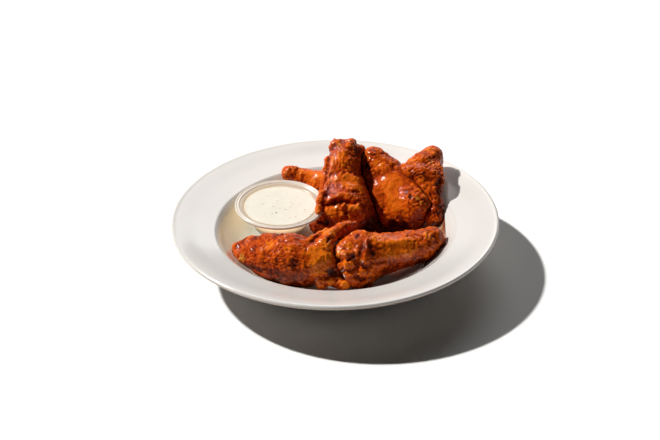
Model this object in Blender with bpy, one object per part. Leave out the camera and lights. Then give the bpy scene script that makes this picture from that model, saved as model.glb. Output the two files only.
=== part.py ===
"""Chicken wings serving: a wide-rimmed stoneware bowl, six sauced wing pieces heaped in its well,
and a small plastic portion cup of creamy dip.  Metres, +Z up, origin under the middle of the foot ring."""
import math

import bmesh
import bpy
from mathutils import Matrix, Vector

MM = 0.001

# ---- driving dimensions, millimetres -------------------------------------------------
BOWL_RADIUS = 135.0        # outer edge of the lip
BOWL_HEIGHT = 45.0         # foot to top of the lip
WELL_RADIUS = 96.7         # crease between the flat rim and the well
CREASE_HEIGHT = 37.4
FLOOR_HEIGHT = 11.5        # eating surface at the middle of the well
FLOOR_RADIUS = 54.0        # where the floor starts to turn up
WALL = 4.2                 # stoneware thickness
FOOT_RADIUS = 61.0
BOWL_STEPS = 56

CUP_TOP_RADIUS = 37.7
CUP_BASE_RADIUS = 19.5
CUP_HEIGHT = 24.2
CUP_WALL = 1.1
CUP_STEPS = 36
CUP_PLACE = (-45.6, 32.5)  # centre of the cup's base in the bowl
CUP_TILT = 2.0             # degrees it leans to the front
CUP_BASE = FLOOR_HEIGHT + 6.0  # it stands against the curve of the well
DIP_DEPTH = 2.3            # dip level below the cup's rim

GAP = 0.35                 # clearance kept between pieces that rest on each other


# ---- helpers -------------------------------------------------------------------------
def clear_scene():
    for obj in list(bpy.data.objects):
        bpy.data.objects.remove(obj, do_unlink=True)


def material(name, colour, roughness, metallic=0.0, alpha=1.0):
    mat = bpy.data.materials.new(name)
    mat.use_nodes = True
    shader = mat.node_tree.nodes["Principled BSDF"]
    shader.inputs["Base Color"].default_value = (*colour, 1.0)
    shader.inputs["Roughness"].default_value = roughness
    shader.inputs["Metallic"].default_value = metallic
    shader.inputs["Alpha"].default_value = alpha
    return mat


def new_object(name, bm, mat=None):
    mesh = bpy.data.meshes.new(name)
    bmesh.ops.recalc_face_normals(bm, faces=bm.faces)
    bm.to_mesh(mesh)
    bm.free()
    mesh.shade_smooth()
    obj = bpy.data.objects.new(name, mesh)
    bpy.context.scene.collection.objects.link(obj)
    if mat:
        mesh.materials.append(mat)
    return obj


def turned(name, profile, steps, mat=None):
    """A solid of revolution about Z from (radius, height) points in millimetres; the ends lie on the axis."""
    bm = bmesh.new()
    verts = [bm.verts.new((r * MM, 0.0, z * MM)) for r, z in profile]
    edges = [bm.edges.new(pair) for pair in zip(verts, verts[1:])]
    bmesh.ops.spin(bm, geom=verts + edges, cent=(0, 0, 0), axis=(0, 0, 1), angle=2 * math.pi, steps=steps, use_duplicate=False)
    bmesh.ops.remove_doubles(bm, verts=bm.verts, dist=2e-5)
    return new_object(name, bm, mat)


def arc(r0, z0, radius, start, end, count):
    """Points on a circular arc in the profile plane, angles in degrees."""
    found = []
    for i in range(count + 1):
        a = math.radians(start + (end - start) * i / count)
        found.append((r0 + radius * math.cos(a), z0 + radius * math.sin(a)))
    return found


def smooth(a, b, x):
    t = min(1.0, max(0.0, (x - a) / (b - a)))
    return t * t * (3 - 2 * t)


# ---- bowl ----------------------------------------------------------------------------
def well_height(r):
    """Height of the eating surface inside the well: a flat middle that curves up into the wall."""
    if r <= FLOOR_RADIUS:
        return FLOOR_HEIGHT
    t = (r - FLOOR_RADIUS) / (WELL_RADIUS - FLOOR_RADIUS)
    return FLOOR_HEIGHT + (CREASE_HEIGHT - 1.2 - FLOOR_HEIGHT) * t ** 1.9


def rim_height(r):
    """Height of the sloping rim between crease and lip."""
    t = (r - WELL_RADIUS) / (BOWL_RADIUS - WELL_RADIUS)
    return CREASE_HEIGHT + (BOWL_HEIGHT - CREASE_HEIGHT) * t


def bowl_inner(lift=0.0):
    points = [(0.0, FLOOR_HEIGHT + lift)]
    for r in (FLOOR_RADIUS, 63.0, 71.5, 79.5, 86.0, 91.5, 95.2):
        points.append((r - 0.7 * lift, well_height(r) + lift))
    points.append((WELL_RADIUS + 0.6 - 0.5 * lift, CREASE_HEIGHT - 0.4 + lift))
    points.append((WELL_RADIUS + 3.0, rim_height(WELL_RADIUS + 3.0) + lift))
    points.append((115.0, rim_height(115.0) - 0.15 + lift))
    points.append((128.0, rim_height(128.0) - 0.05 + lift))
    return points


def make_bowl(mat):
    profile = bowl_inner()
    lip = 1.9
    profile += arc(BOWL_RADIUS - lip, BOWL_HEIGHT - lip, lip, 95, -100, 5)
    profile += [(128.0, rim_height(128.0) - WALL + 0.3), (104.0, rim_height(104.0) - WALL - 0.3)]
    for r, z in ((101.2, 32.6), (97.0, 28.6), (90.4, 22.4), (82.4, 16.2), (74.6, 11.7), (66.5, 8.6)):
        profile.append((r, z))
    foot = FOOT_RADIUS
    profile += [(foot + 1.7, 7.2), (foot, 0.6), (foot - 0.9, 0.0), (foot - 4.2, 0.0), (foot - 5.0, 0.6), (foot - 6.4, 5.8), (0.0, 6.3)]
    return turned("bowl", profile, BOWL_STEPS, mat)


def bowl_clearance():
    """The space a resting piece may not enter: the bowl's eating surface lifted by the gap, down to below the floor."""
    profile = bowl_inner(GAP) + [(BOWL_RADIUS + 6.0, rim_height(BOWL_RADIUS + 6.0) + GAP), (BOWL_RADIUS + 6.0, -6.0), (0.0, -6.0)]
    cutter = turned("clearance_bowl", profile, BOWL_STEPS)
    return as_cutter(cutter)


# ---- portion cup and dip -------------------------------------------------------------
def cup_inner_radius(z):
    """Inside radius of the cup's tapered wall at height z above its own base."""
    return CUP_BASE_RADIUS - CUP_WALL + (CUP_TOP_RADIUS - 7.7 - CUP_BASE_RADIUS + CUP_WALL) * z / (CUP_HEIGHT - 2.4)


def stand_in_well(obj):
    obj.location = (CUP_PLACE[0] * MM, CUP_PLACE[1] * MM, CUP_BASE * MM)
    obj.rotation_euler = (math.radians(CUP_TILT), 0.0, 0.0)
    return obj


def make_cup(mat):
    top, out = CUP_HEIGHT, CUP_TOP_RADIUS
    profile = [(0.0, 1.2)] + [(cup_inner_radius(z), z) for z in (1.2, 12.0, top - 2.4)]
    profile += [(out - 6.5, top - 1.3), (out - 3.5, top - 0.2), (out - 0.8, top), (out, top - 0.6), (out - 0.2, top - 1.6), (out - 1.0, top - 1.7), (out - 3.1, top - 1.4), (out - 5.3, top - 2.6)]
    profile += [(cup_inner_radius(z) + CUP_WALL, z) for z in (top - 3.6, 12.0)]
    profile += [(CUP_BASE_RADIUS, 2.0), (CUP_BASE_RADIUS - 1.8, 0.0), (0.0, 0.0)]
    return stand_in_well(turned("dip_cup", profile, CUP_STEPS, mat))


def make_dip(mat):
    level = CUP_HEIGHT - DIP_DEPTH
    profile = [(0.0, 1.6)] + [(cup_inner_radius(z) - GAP, z) for z in (1.6, 12.0, level - 0.5)]
    profile += [(cup_inner_radius(level) - 1.2, level), (0.0, level)]
    return stand_in_well(turned("dip", profile, CUP_STEPS, mat))


def cup_clearance():
    """The cup's outside with the gap round it."""
    top = CUP_HEIGHT
    profile = [(0.0, -3.0), (CUP_BASE_RADIUS + GAP, -3.0), (cup_inner_radius(12.0) + CUP_WALL + GAP, 12.0), (cup_inner_radius(top - 3.6) + CUP_WALL + GAP, top - 3.9), (CUP_TOP_RADIUS + GAP, top - 2.2), (CUP_TOP_RADIUS + GAP, top + GAP), (0.0, top + GAP)]
    return as_cutter(stand_in_well(turned("clearance_cup", profile, CUP_STEPS)))


def as_cutter(obj):
    obj.hide_render = True
    obj.display_type = "WIRE"
    return obj


# ---- wing pieces ---------------------------------------------------------------------
# Each piece is one or more chains of balls, (x, y, z, radius), swept into round cones and blended together.
WINGS = {
    "wing_front_right": {
        "meat": [(12, -44, 30, 16), (22, -37, 31, 21), (41, -32, 31, 16.5), (55, -28.5, 32, 15), (69, -25, 33, 13.3), (79.5, -15, 33.5, 10.5)],
        "knuckle_top": [(13, -37, 40, 9.5), (26, -37, 41, 10)],
        "knuckle_low": [(12, -57, 24, 8), (22, -50, 20, 10)],
    },
    "wing_front_left": {
        "meat": [(-77, -15.5, 25, 8.6), (-66, -24, 27, 14.5), (-52, -33, 29, 19), (-37, -40, 31, 21), (-25, -44, 31, 19.5)],
        "joint": [(-25, -44, 31, 18), (-13, -46, 32, 16), (-4, -50, 26, 12)],
        "knuckle_left": [(-9, -57, 21, 8.5), (-5, -52, 24, 9)],
        "knuckle_right": [(4, -62, 20, 8), (-2, -54, 23, 9)],
        "skin_flap": [(-21, -39, 44, 6), (-12, -27, 46, 5.8), (-3, -18, 47, 5.6), (6, -13, 47, 4.8), (14, -10, 46.5, 3.9), (18.5, -9.5, 45, 2.8)],
    },
    "wing_middle": {
        "meat": [(8.5, 35, 33, 25.2), (7, 49, 44, 19.7), (7, 57, 51, 16.4), (8, 63, 60, 14.6), (10, 70.5, 67.5, 12.3)],
        "lobe_left": [(-9, 22, 28, 13), (2, 34, 33, 18)],
        "knuckle_left": [(1, 74, 74.5, 6), (6, 68, 66, 9)],
        "knuckle_right": [(14, 75, 75, 6), (12, 68, 66, 9)],
        "knuckle_side": [(22, 74, 69, 5), (14, 68, 64, 9)],
        "back_flank": [(16, 68, 60, 9), (20, 66, 52, 9), (20, 56, 40, 12)],
        "low_flank": [(18.5, 58, 40, 11), (21, 44, 33, 11.8), (26, 33, 24, 11.8)],
    },
    "wing_back": {
        "meat": [(60, 42, 30, 20), (50, 55, 40.5, 18.3), (43, 64.5, 52, 13.5), (34, 71, 62, 10)],
        "shoulder": [(66.5, 32, 37.5, 14.2), (58, 50.5, 43, 14.5), (47, 63, 52, 11.5)],
        "behind_middle": [(25, 73, 60, 8), (30, 65, 48, 11.4), (39, 54, 36, 15)],
    },
    "wing_right": {
        "edge": [(83, 81, 56.5, 8.8), (80.5, 54, 50, 10.5), (82.5, 36.5, 38.5, 7.6), (82.5, 22.5, 31, 7.4)],
        "web": [(83, 80, 57.2, 8.9), (72.5, 66.5, 58, 9.1), (61, 57.6, 55.6, 8.5), (71, 49, 46.5, 8.8), (82.5, 36.5, 38.5, 7.8)],
        "fill": [(73, 65, 56, 9.5), (80.5, 54, 50, 10.5), (72.5, 54, 50, 9)],
    },
    "wing_back_left": {
        "meat": [(-39, 79.5, 43, 6.8), (-25, 77, 40, 8.2), (-11, 72, 37, 11), (6, 67, 32, 15.5), (20, 64, 30.5, 16)],
    },
}
LUMP = {"wing_front_right": 2.2, "wing_front_left": 1.8, "wing_middle": 2.0, "wing_back": 1.1, "wing_right": 1.4, "wing_back_left": 1.2}
TRIANGLES = {"wing_front_right": 800, "wing_front_left": 870, "wing_middle": 820, "wing_back": 560, "wing_right": 540, "wing_back_left": 340}


def round_cone(bm, first, second):
    """The convex hull of two balls, added to bm."""
    balls = bmesh.new()
    for x, y, z, r in (first, second):
        bmesh.ops.create_icosphere(balls, subdivisions=3, radius=r * MM, matrix=Matrix.Translation(Vector((x, y, z)) * MM))
    part = bmesh.new()
    for vert in balls.verts:
        part.verts.new(vert.co)
    balls.free()
    bmesh.ops.convex_hull(part, input=part.verts[:], use_existing_faces=False)
    bmesh.ops.delete(part, geom=[v for v in part.verts if not v.link_faces], context="VERTS")
    mesh = bpy.data.meshes.new("cone")
    part.to_mesh(mesh)
    part.free()
    bm.from_mesh(mesh)
    bpy.data.meshes.remove(mesh)


def face_count(obj):
    bpy.context.view_layer.update()
    shown = obj.evaluated_get(bpy.context.evaluated_depsgraph_get()).to_mesh()
    count = sum(len(p.vertices) - 2 for p in shown.polygons)
    return count


def grown_copy(obj):
    """A cutter a little larger all round than the finished piece."""
    graph = bpy.context.evaluated_depsgraph_get()
    mesh = bpy.data.meshes.new_from_object(obj.evaluated_get(graph))
    cutter = bpy.data.objects.new("clearance_" + obj.name, mesh)
    bpy.context.scene.collection.objects.link(cutter)
    swell = cutter.modifiers.new("swell", "DISPLACE")
    swell.strength = (GAP + 0.12) * MM
    swell.mid_level = 0.0
    return as_cutter(cutter)


def make_wing(name, chains, mat, cutters):
    bm = bmesh.new()
    for chain in chains.values():
        for first, second in zip(chain, chain[1:]):
            round_cone(bm, first, second)
    obj = new_object(name, bm, mat)
    blend = obj.modifiers.new("blend", "REMESH")
    blend.mode = "VOXEL"
    blend.voxel_size = 1.6 * MM
    soften = obj.modifiers.new("soften", "SMOOTH")
    soften.factor = 0.5
    soften.iterations = 8
    for size, share in ((17.0, 1.0), (7.5, 0.45)):
        clouds = bpy.data.textures.new(f"{name}_{size}", "CLOUDS")
        clouds.noise_scale = size * MM
        clouds.noise_depth = 1
        lumps = obj.modifiers.new("lumps", "DISPLACE")
        lumps.texture = clouds
        lumps.texture_coords = "LOCAL"
        lumps.strength = 2.0 * share * LUMP[name] * MM
        lumps.mid_level = 0.5
    fewer = obj.modifiers.new("fewer", "DECIMATE")
    fewer.ratio = 1.0
    fewer.use_collapse_triangulate = True
    fewer.ratio = TRIANGLES[name] / face_count(obj)
    for cutter in cutters:
        cut = obj.modifiers.new("clear_" + cutter.name, "BOOLEAN")
        cut.operation = "DIFFERENCE"
        cut.solver = "EXACT"
        cut.use_self = cutter.name.startswith("clearance_wing")
        cut.object = cutter
    bpy.context.view_layer.update()
    return obj


def main():
    clear_scene()
    stoneware = material("stoneware", (0.86, 0.85, 0.82), 0.16)
    plastic = material("cup_plastic", (0.86, 0.85, 0.82), 0.30, alpha=0.75)
    creamy = material("dip", (0.90, 0.86, 0.74), 0.32)
    sauced = material("wing", (0.47, 0.11, 0.02), 0.28)
    make_bowl(stoneware)
    make_cup(plastic)
    make_dip(creamy)
    clearances = [bowl_clearance(), cup_clearance()]
    for name, chains in WINGS.items():
        obj = make_wing(name, chains, sauced, clearances)
        clearances.append(grown_copy(obj))


main()
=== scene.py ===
import math

import bmesh
import bpy
import numpy as np
from mathutils import Matrix, Vector


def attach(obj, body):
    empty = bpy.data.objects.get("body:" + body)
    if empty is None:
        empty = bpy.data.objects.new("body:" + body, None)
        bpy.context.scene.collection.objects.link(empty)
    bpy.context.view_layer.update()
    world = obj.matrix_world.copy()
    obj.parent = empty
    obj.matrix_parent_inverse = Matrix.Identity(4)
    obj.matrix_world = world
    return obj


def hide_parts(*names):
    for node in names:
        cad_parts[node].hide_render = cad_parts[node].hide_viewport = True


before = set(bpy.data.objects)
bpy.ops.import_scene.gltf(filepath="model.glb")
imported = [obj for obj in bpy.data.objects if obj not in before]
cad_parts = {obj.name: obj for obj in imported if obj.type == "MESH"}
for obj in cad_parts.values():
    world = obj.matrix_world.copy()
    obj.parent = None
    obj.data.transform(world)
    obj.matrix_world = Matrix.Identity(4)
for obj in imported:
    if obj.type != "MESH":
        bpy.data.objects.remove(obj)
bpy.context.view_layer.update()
MM = 0.001

# ======================================================================================
# Sizes, millimetres: the same bowl, cup and wing places as the solids
# ======================================================================================
BOWL_RADIUS, BOWL_HEIGHT = 135.0, 45.0
LIP_LIFT = 0.48
WELL_RADIUS, CREASE_HEIGHT = 96.7, 37.4
FLOOR_HEIGHT, FLOOR_RADIUS = 11.5, 54.0
CUP_TOP, CUP_FOOT, CUP_HEIGHT, CUP_WALL = 37.7, 19.5, 24.2, 1.1
CUP_PLACE = (-45.6, 32.5)
CUP_BASE = FLOOR_HEIGHT + 6.0
CUP_TILT = math.radians(2.0)      # leans to the front
DIP_DEPTH = 2.3

# Each wing piece: balls (x, y, z, radius) swept into round cones; "add" blends them on, "cut" blends them away.
# Colour spots, (x, y, z, radius) each: some lighten the glaze as painted light on sunlit patches, by a gain per piece;
# some darken it for browner skin and as painted shade on shaded flanks and undersides; some paint near-black shade into
# hollows, under the pieces and into the gaps between them; yellow marks crusty patches, and dull takes away some of the
# shine and darkens a little.
WINGS = {
    "wing_front_right": {
        "ops": [
            ("add", 1.0, [(12, -44, 30, 16), (22, -37, 31, 21), (41, -32, 31, 16.5), (55, -28.5, 32, 15), (69, -25, 33, 13.3), (79.5, -15, 33.5, 10.5)]),
            ("add", 3.0, [(13, -37, 40, 9.5), (26, -37, 41, 10)]),
            ("add", 3.0, [(12, -57, 24, 8), (22, -50, 20, 10)]),
            ("add", 3.0, [(4.0, -43, 37, 8.2), (9, -42, 41, 8.4)]),
            ("add", 1.8, [(2.4, -46.8, 42.0, 3.6), (6.2, -44.6, 45.0, 3.4), (10.4, -43.0, 47.4, 3.2)]),
            # rounded joint at the upper left, with its pit
            ("add", 2.5, [(14.5, -40, 46.5, 5.2), (18, -33.5, 47.5, 4.8), (23, -34.5, 48, 4.6)]),
            ("cut", 1.4, [(17.2, -39.5, 53.0, 1.5), (18.6, -37.5, 53.6, 1.3)]),
            # gristle lumps
            ("add", 1.6, [(3.8, -50.5, 41.2, 3.8), (8.2, -52.2, 41.5, 3.9)]),
            ("add", 1.6, [(4.6, -55.5, 34.6, 4.0), (9.4, -56.4, 36.2, 4.4), (12.5, -56.6, 35.0, 3.6)]),
            ("add", 1.4, [(13.5, -51.0, 41.5, 3.6), (17.0, -50.2, 43.0, 3.3)]),
            ("fold", 2.0, [(10.2, -57.6, 40.4, 1.3), (13.6, -55.2, 41.3, 1.4), (15.0, -53.0, 45.4, 1.0)]),
            ("fold", 2.0, [(1.8, -53.5, 38.6, 1.3), (5.2, -57.5, 39.0, 1.2)]),
            # smooth saddle between the joint and the shaft, with a fold each side
            ("add", 2.5, [(24.2, -41.5, 47.6, 4.0), (25.2, -49.5, 43.6, 4.4), (23.8, -54.0, 38.5, 4.0)]),
            ("fold", 2.4, [(22.0, -43.0, 53.0, 1.7), (21.6, -50.0, 48.2, 1.8), (20.0, -57.0, 42.8, 1.7), (18.5, -60.0, 36.5, 1.5)]),
            ("cut", 2.6, [(28.4, -39.6, 53.8, 1.6), (29.2, -46.8, 50.6, 2.2), (30.4, -52.6, 45.0, 2.1), (33.5, -56.0, 37.6, 1.7)]),
            # lower lobes
            ("add", 2.0, [(19.5, -58.5, 30.0, 4.4), (25.0, -56.2, 27.5, 4.6)]),
            ("add", 2.0, [(16.5, -60.4, 23.5, 4.4), (23.0, -57.5, 21.5, 4.2)]),
            ("fold", 2.0, [(16.0, -63.6, 28.0, 1.6), (21.5, -62.4, 25.4, 1.6), (27.0, -59.2, 24.0, 1.6)]),
            ("add", 2.0, [(29.5, -54.4, 31.0, 3.4), (35.0, -51.2, 31.2, 3.2), (41.0, -48.2, 31.5, 2.6)]),
            # shaft
            ("add", 3.0, [(33.5, -41.5, 44.2, 3.2), (44.0, -38.0, 43.0, 3.0), (55.0, -35.5, 42.2, 2.8), (66.0, -31.5, 42.0, 2.6)]),
            ("add", 3.0, [(36.0, -47.2, 38.2, 2.8), (48.0, -43.4, 36.6, 2.4), (60.0, -39.8, 36.2, 2.4)]),
            # curled skin round the narrow end
            ("add", 1.8, [(73.5, -27.5, 43.4, 2.2), (78.5, -20.0, 42.8, 2.3), (83.2, -20.2, 40.2, 2.2), (84.4, -23.6, 36.2, 2.2), (80.4, -29.4, 34.6, 2.2), (75.2, -33.6, 36.6, 2.2), (71.6, -32.6, 40.4, 2.1)]),
        ],
        "ripples": [("around", (79.0, -28.5, 40.0), 5.4, 0.75, [(79, -26, 40, 13)])],
        "crust": [(6, -53, 38, 13), (16, -38, 47, 9), (22, -57, 24, 11)],
        "smooth": [(26, -47, 46, 8), (48, -38, 44, 12)],
        "painted_light_gain": 1.2,
        "painted_light": [(4.5, -50.5, 43, 4.5), (12, -47, 46, 5), (9, -57, 37, 4.5), (28, -55, 29, 5), (33, -37, 47, 8), (46, -44, 43, 12), (59, -40, 42, 11), (76, -26, 43, 6)],
        "brown_and_shade": [(15, -54, 42.5, 3.0), (25.5, -50, 46, 6.5), (30, -49, 46, 4.5), (20, -62, 24, 5), (45, -47, 26, 10), (62, -40, 26, 8), (17.5, -38.5, 52, 3.0)],
        "dull": [],
        "yellow": [(12.5, -58.5, 36, 1.6), (21, -55, 39, 1.8)],
        "painted_recess_shade": [(10, -61, 17, 5), (26, -60, 17, 6), (42, -55, 19, 6), (56, -48, 22, 6), (70, -40, 25, 6), (29.2, -47, 48, 2.6), (30.5, -52, 43, 2.6), (15, -56, 39.5, 2.2)],
    },
    "wing_front_left": {
        "ops": [
            ("add", 1.0, [(-77, -15.5, 25, 8.6), (-66, -24, 27, 14.5), (-52, -33, 29, 19), (-37, -40, 31, 21), (-25, -44, 31, 19.5)]),
            # fold before the swollen joint
            ("cut", 3.0, [(-20.6, -42.5, 54.2, 1.3), (-22.6, -51.5, 51.6, 1.7), (-23.2, -59.2, 46.8, 1.8), (-22.4, -64.6, 39.8, 1.8), (-21.4, -67.0, 31.0, 1.6)]),
            ("add", 3.0, [(-16.5, -46, 32, 15.0), (-10, -47, 31, 14.0), (-3, -49, 27, 11)]),
            ("add", 3.5, [(-15.4, -50.0, 43.0, 4.4), (-16.0, -57.6, 37.6, 4.0), (-15.4, -59.4, 32.0, 3.8)]),
            # crusty end below it, and the dark hollow between
            ("add", 2.5, [(-11.5, -60.5, 21.5, 5.6), (-5, -52, 24, 8)]),
            ("add", 2.0, [(-3.9, -61.2, 23.6, 4.2), (-1.0, -56.0, 22, 7)]),
            ("add", 2.0, [(7.4, -63.6, 21.6, 4.6), (0, -56, 22, 7)]),
            ("cut", 2.0, [(-9.4, -64.2, 34.0, 2.4), (-3.8, -64.4, 31.2, 3.4), (1.6, -64.6, 30.4, 3.0), (6.5, -66.4, 28.4, 2.4)]),
            ("fold", 1.6, [(-8.2, -66.6, 26.6, 1.4), (-7.4, -66.4, 21.5, 1.6)]),
            ("cut", 1.4, [(0.8, -67.2, 26.8, 1.5), (1.6, -66.8, 20.5, 1.7)]),
            # skin drawn up from the joint into a flap that arches back over the middle piece
            ("add", 3.0, [(-11.0, -49.0, 39.6, 8.8), (-9.6, -43.6, 45.4, 8.0), (-5.9, -36.2, 48.2, 6.2), (-1.2, -29.4, 48.8, 5.0), (4.6, -24.0, 50.2, 4.5), (11.0, -19.6, 51.0, 3.6), (16.2, -16.2, 49.9, 2.3)]),
            ("add", 1.4, [(-23.4, -43.6, 48.6, 2.6), (-18.6, -39.4, 50.6, 2.5), (-12.6, -33.4, 51.4, 2.3), (-7.2, -28.2, 51.8, 2.0)]),
            ("fold", 1.6, [(-26.2, -41.8, 52.4, 1.3), (-20.6, -37.0, 53.4, 1.2), (-14.6, -31.2, 54.0, 1.1)]),
            ("fold", 1.6, [(-14.2, -42.6, 54.0, 0.9), (-9.2, -36.4, 55.6, 1.0), (-4.2, -31.2, 56.0, 0.9)]),
            ("fold", 1.6, [(-6.8, -47.4, 50.6, 0.9), (-2.6, -40.2, 53.0, 0.9), (0.6, -34.2, 53.4, 0.8)]),
            # tip
            ("add", 2.0, [(-81.6, -18.6, 30.6, 3.6), (-79.0, -24.0, 28.0, 4.2), (-76.0, -30.0, 26.0, 4.4)]),
            # lumps along the top edge
            ("add", 2.6, [(-74.4, -20.6, 34.8, 3.6), (-67.4, -18.6, 37.0, 3.4)]),
            ("add", 2.6, [(-57.0, -26.6, 42.4, 4.6), (-50.0, -28.6, 43.8, 4.0)]),
            ("add", 2.6, [(-44.0, -33.8, 46.4, 4.4), (-37.0, -36.6, 47.6, 4.0)]),
            ("add", 2.6, [(-33.0, -40.0, 47.8, 4.2), (-26.6, -41.4, 47.6, 3.6)]),
            # long folds of skin
            ("add", 4.0, [(-66.0, -34.6, 35.0, 3.0), (-57.0, -44.4, 38.2, 3.2), (-46.0, -50.4, 40.4, 3.2), (-36.0, -53.2, 42.6, 3.0)]),
            ("fold", 3.0, [(-68.0, -42.2, 24.4, 1.4), (-59.0, -53.0, 27.4, 1.5), (-47.0, -60.2, 29.2, 1.5), (-36.0, -64.2, 28.4, 1.4)]),
        ],
        "ripples": [
            ("along", (0.25, 0.42, 0.87), 5.6, 0.42, [(-50, -48, 38, 27)]),
            ("along", (0.30, 0.10, 0.95), 4.0, 0.30, [(-30, -56, 38, 12)]),
            ("along", (0.86, 0.2, -0.4), 4.4, 0.40, [(-74, -30, 32, 11)]),
            ("along", (0.95, 0.25, 0.1), 6.0, 0.40, [(-12, -54, 43, 10)]),
            ("along", (0.62, -0.70, 0.3), 5.0, 0.26, [(-9, -34, 52, 9), (2, -24, 53, 8)]),
        ],
        "crust": [(-6, -62, 24, 14), (-78, -25, 28, 9), (-45, -35, 48, 12)],
        "smooth": [(-14, -54, 42, 9), (-6, -26, 48, 10)],
        "painted_light_gain": 1.4,
        "painted_light": [(-15.5, -56, 42, 12), (-8, -54, 46, 11), (-14, -60, 35, 10), (-6, -34, 53, 7), (-12, -60, 36, 6), (-38, -50, 46, 5), (-52, -42, 44, 6), (-4, -65, 25, 3.2), (8, -67, 24, 4.4)],
        "brown_and_shade": [(-23, -57, 42, 4.6), (-2, -62, 31.5, 5), (-48, -60, 24, 13), (-30, -62, 24, 11), (-70, -38, 22, 9), (-22, -60, 34, 5), (-62, -24, 43, 7), (-44, -29, 49, 8), (-76, -20, 36, 7), (-30, -40, 53, 5), (-66, -46, 26, 8), (-64, -36, 38, 6), (-34, -56, 38, 6)],
        "dull": [(-62, -38, 36, 15), (-49, -43, 39, 17), (-36, -49, 39, 12)],
        "yellow": [(-76, -33.5, 29.5, 4.0)],
        "painted_recess_shade": [(-4, -61, 31.5, 4.2), (1, -61.5, 30.6, 3.8), (6, -63, 28.4, 3.4), (-66, -39, 17, 6), (-50, -56, 17, 7), (-35, -63, 17, 7), (-20, -65, 17, 6), (0, -25, 43, 4.5), (8, -20, 46, 4)],
    },
    "wing_middle": {
        "ops": [
            ("add", 1.0, [(8.5, 35, 33, 24.4), (7, 49, 44, 19.4), (7, 57, 51, 16.2), (8, 63, 60, 14.4), (10, 70.5, 67.5, 11.8)]),
            ("add", 3.0, [(-9, 24, 28, 13), (2, 34, 33, 18)]),
            # knuckle
            ("add", 1.8, [(0.4, 73.4, 74.6, 4.3), (6, 68, 66, 9)]),
            ("add", 1.8, [(3.8, 71.4, 75.8, 3.6), (-1.6, 71.4, 71.6, 3.4)]),
            ("add", 1.8, [(14.4, 74.4, 75.4, 4.4), (12, 68, 66, 9)]),
            ("add", 1.8, [(11.0, 71.6, 75.8, 3.4), (17.0, 70.6, 73.2, 3.4)]),
            ("add", 2.0, [(22.6, 73.6, 69.4, 3.8), (14, 68, 64, 9)]),
            ("cut", 1.6, [(8.0, 64.0, 79.6, 2.2), (7.8, 73.5, 80.2, 3.1)]),
            ("fold", 1.8, [(19.0, 66.6, 76.4, 1.6), (18.2, 74.0, 78.6, 2.0)]),
            ("fold", 2.0, [(2.2, 64.2, 76.6, 0.7), (8.6, 61.8, 76.6, 0.8), (14.6, 62.2, 75.4, 0.8)]),
            ("add", 2.0, [(0.5, 63.8, 71.2, 2.8), (7.0, 60.8, 72.2, 2.8), (13.4, 61.6, 70.4, 2.6)]),
            # flank down the right side
            ("add", 3.0, [(15, 70, 59, 8.2), (18.5, 68.5, 51, 8.4), (18.5, 60, 41, 10)]),
            ("add", 3.5, [(18.5, 58, 40, 11), (21, 44, 33, 11.3), (26, 33, 24, 11.3)]),
            # ridges that run down the shaft
            ("add", 2.6, [(-4.4, 60.8, 66.2, 3.6), (-5.4, 54.6, 60.4, 3.8), (-7.4, 48.0, 54.0, 3.6), (-10.4, 42.0, 47.6, 3.4)]),
            ("add", 2.6, [(-0.8, 56.4, 67.4, 3.0), (-2.2, 50.4, 61.4, 3.2), (-4.2, 42.6, 55.4, 3.2), (-7.0, 35.6, 49.8, 3.4)]),
            ("fold", 2.4, [(-3.6, 57.2, 69.6, 1.3), (-5.4, 50.4, 63.2, 1.5), (-7.8, 43.4, 56.8, 1.6), (-10.6, 36.4, 50.4, 1.5)]),
            # raised panel of thin skin at the right
            ("add", 4.0, [(10.0, 44.4, 56.4, 4.2), (16.4, 44.0, 54.6, 4.2), (19.0, 37.4, 50.6, 4.8), (12.0, 34.0, 51.4, 5.0)]),
            ("fold", 2.2, [(7.4, 44.4, 63.4, 0.7), (12.8, 46.4, 63.2, 0.7), (18.6, 46.8, 60.4, 0.7)]),
            # apron fold across the front
            ("add", 2.2, [(-14.4, 20.6, 36.0, 3.2), (-12.4, 22.6, 41.6, 3.2), (-7.6, 24.6, 46.6, 3.2), (-2.2, 25.4, 49.8, 3.2), (4.2, 24.6, 51.8, 3.0), (11.0, 23.4, 51.2, 2.8), (17.0, 23.2, 49.0, 2.6), (23.0, 23.6, 45.0, 2.4)]),
            ("cut", 1.4, [(-5.6, 19.8, 46.6, 1.9), (-0.6, 19.6, 49.4, 2.8), (5.4, 18.4, 50.4, 3.2), (11.6, 17.4, 49.6, 3.0), (16.8, 17.4, 48.0, 2.0)]),
            ("add", 1.0, [(7.6, 16.2, 47.6, 2.7)]),
            ("add", 1.8, [(2.6, 17.0, 45.4, 2.6), (5.8, 14.6, 41.6, 2.8)]),
            ("add", 2.2, [(12.6, 15.6, 43.6, 4.2), (18.6, 16.6, 43.4, 4.0)]),
            ("add", 2.2, [(13.6, 14.8, 38.4, 4.2), (20.4, 16.6, 38.2, 4.2)]),
            ("fold", 1.6, [(9.4, 12.0, 45.4, 1.4), (9.6, 10.4, 40.2, 1.7)]),
            # lobe at the lower left with the shadow under it
            ("add", 2.2, [(-10.6, 21.4, 38.8, 4.8), (-4.6, 19.4, 40.6, 4.8), (0.4, 17.2, 39.6, 4.4)]),
            ("cut", 2.2, [(-13.0, 15.2, 33.4, 1.4), (-7.4, 12.2, 33.8, 2.0), (-0.6, 9.6, 34.8, 2.2)]),
            ("add", 2.2, [(-16.0, 18.4, 30.0, 4.0), (-14.8, 15.6, 24.0, 4.0)]),
            ("add", 2.2, [(-14.2, 12.5, 44.4, 2.3), (-13.8, 18.0, 45.4, 2.8), (-12.2, 24.0, 48.0, 3.2), (-10.0, 30.0, 51.6, 3.2)]),
        ],
        "ripples": [
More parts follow.
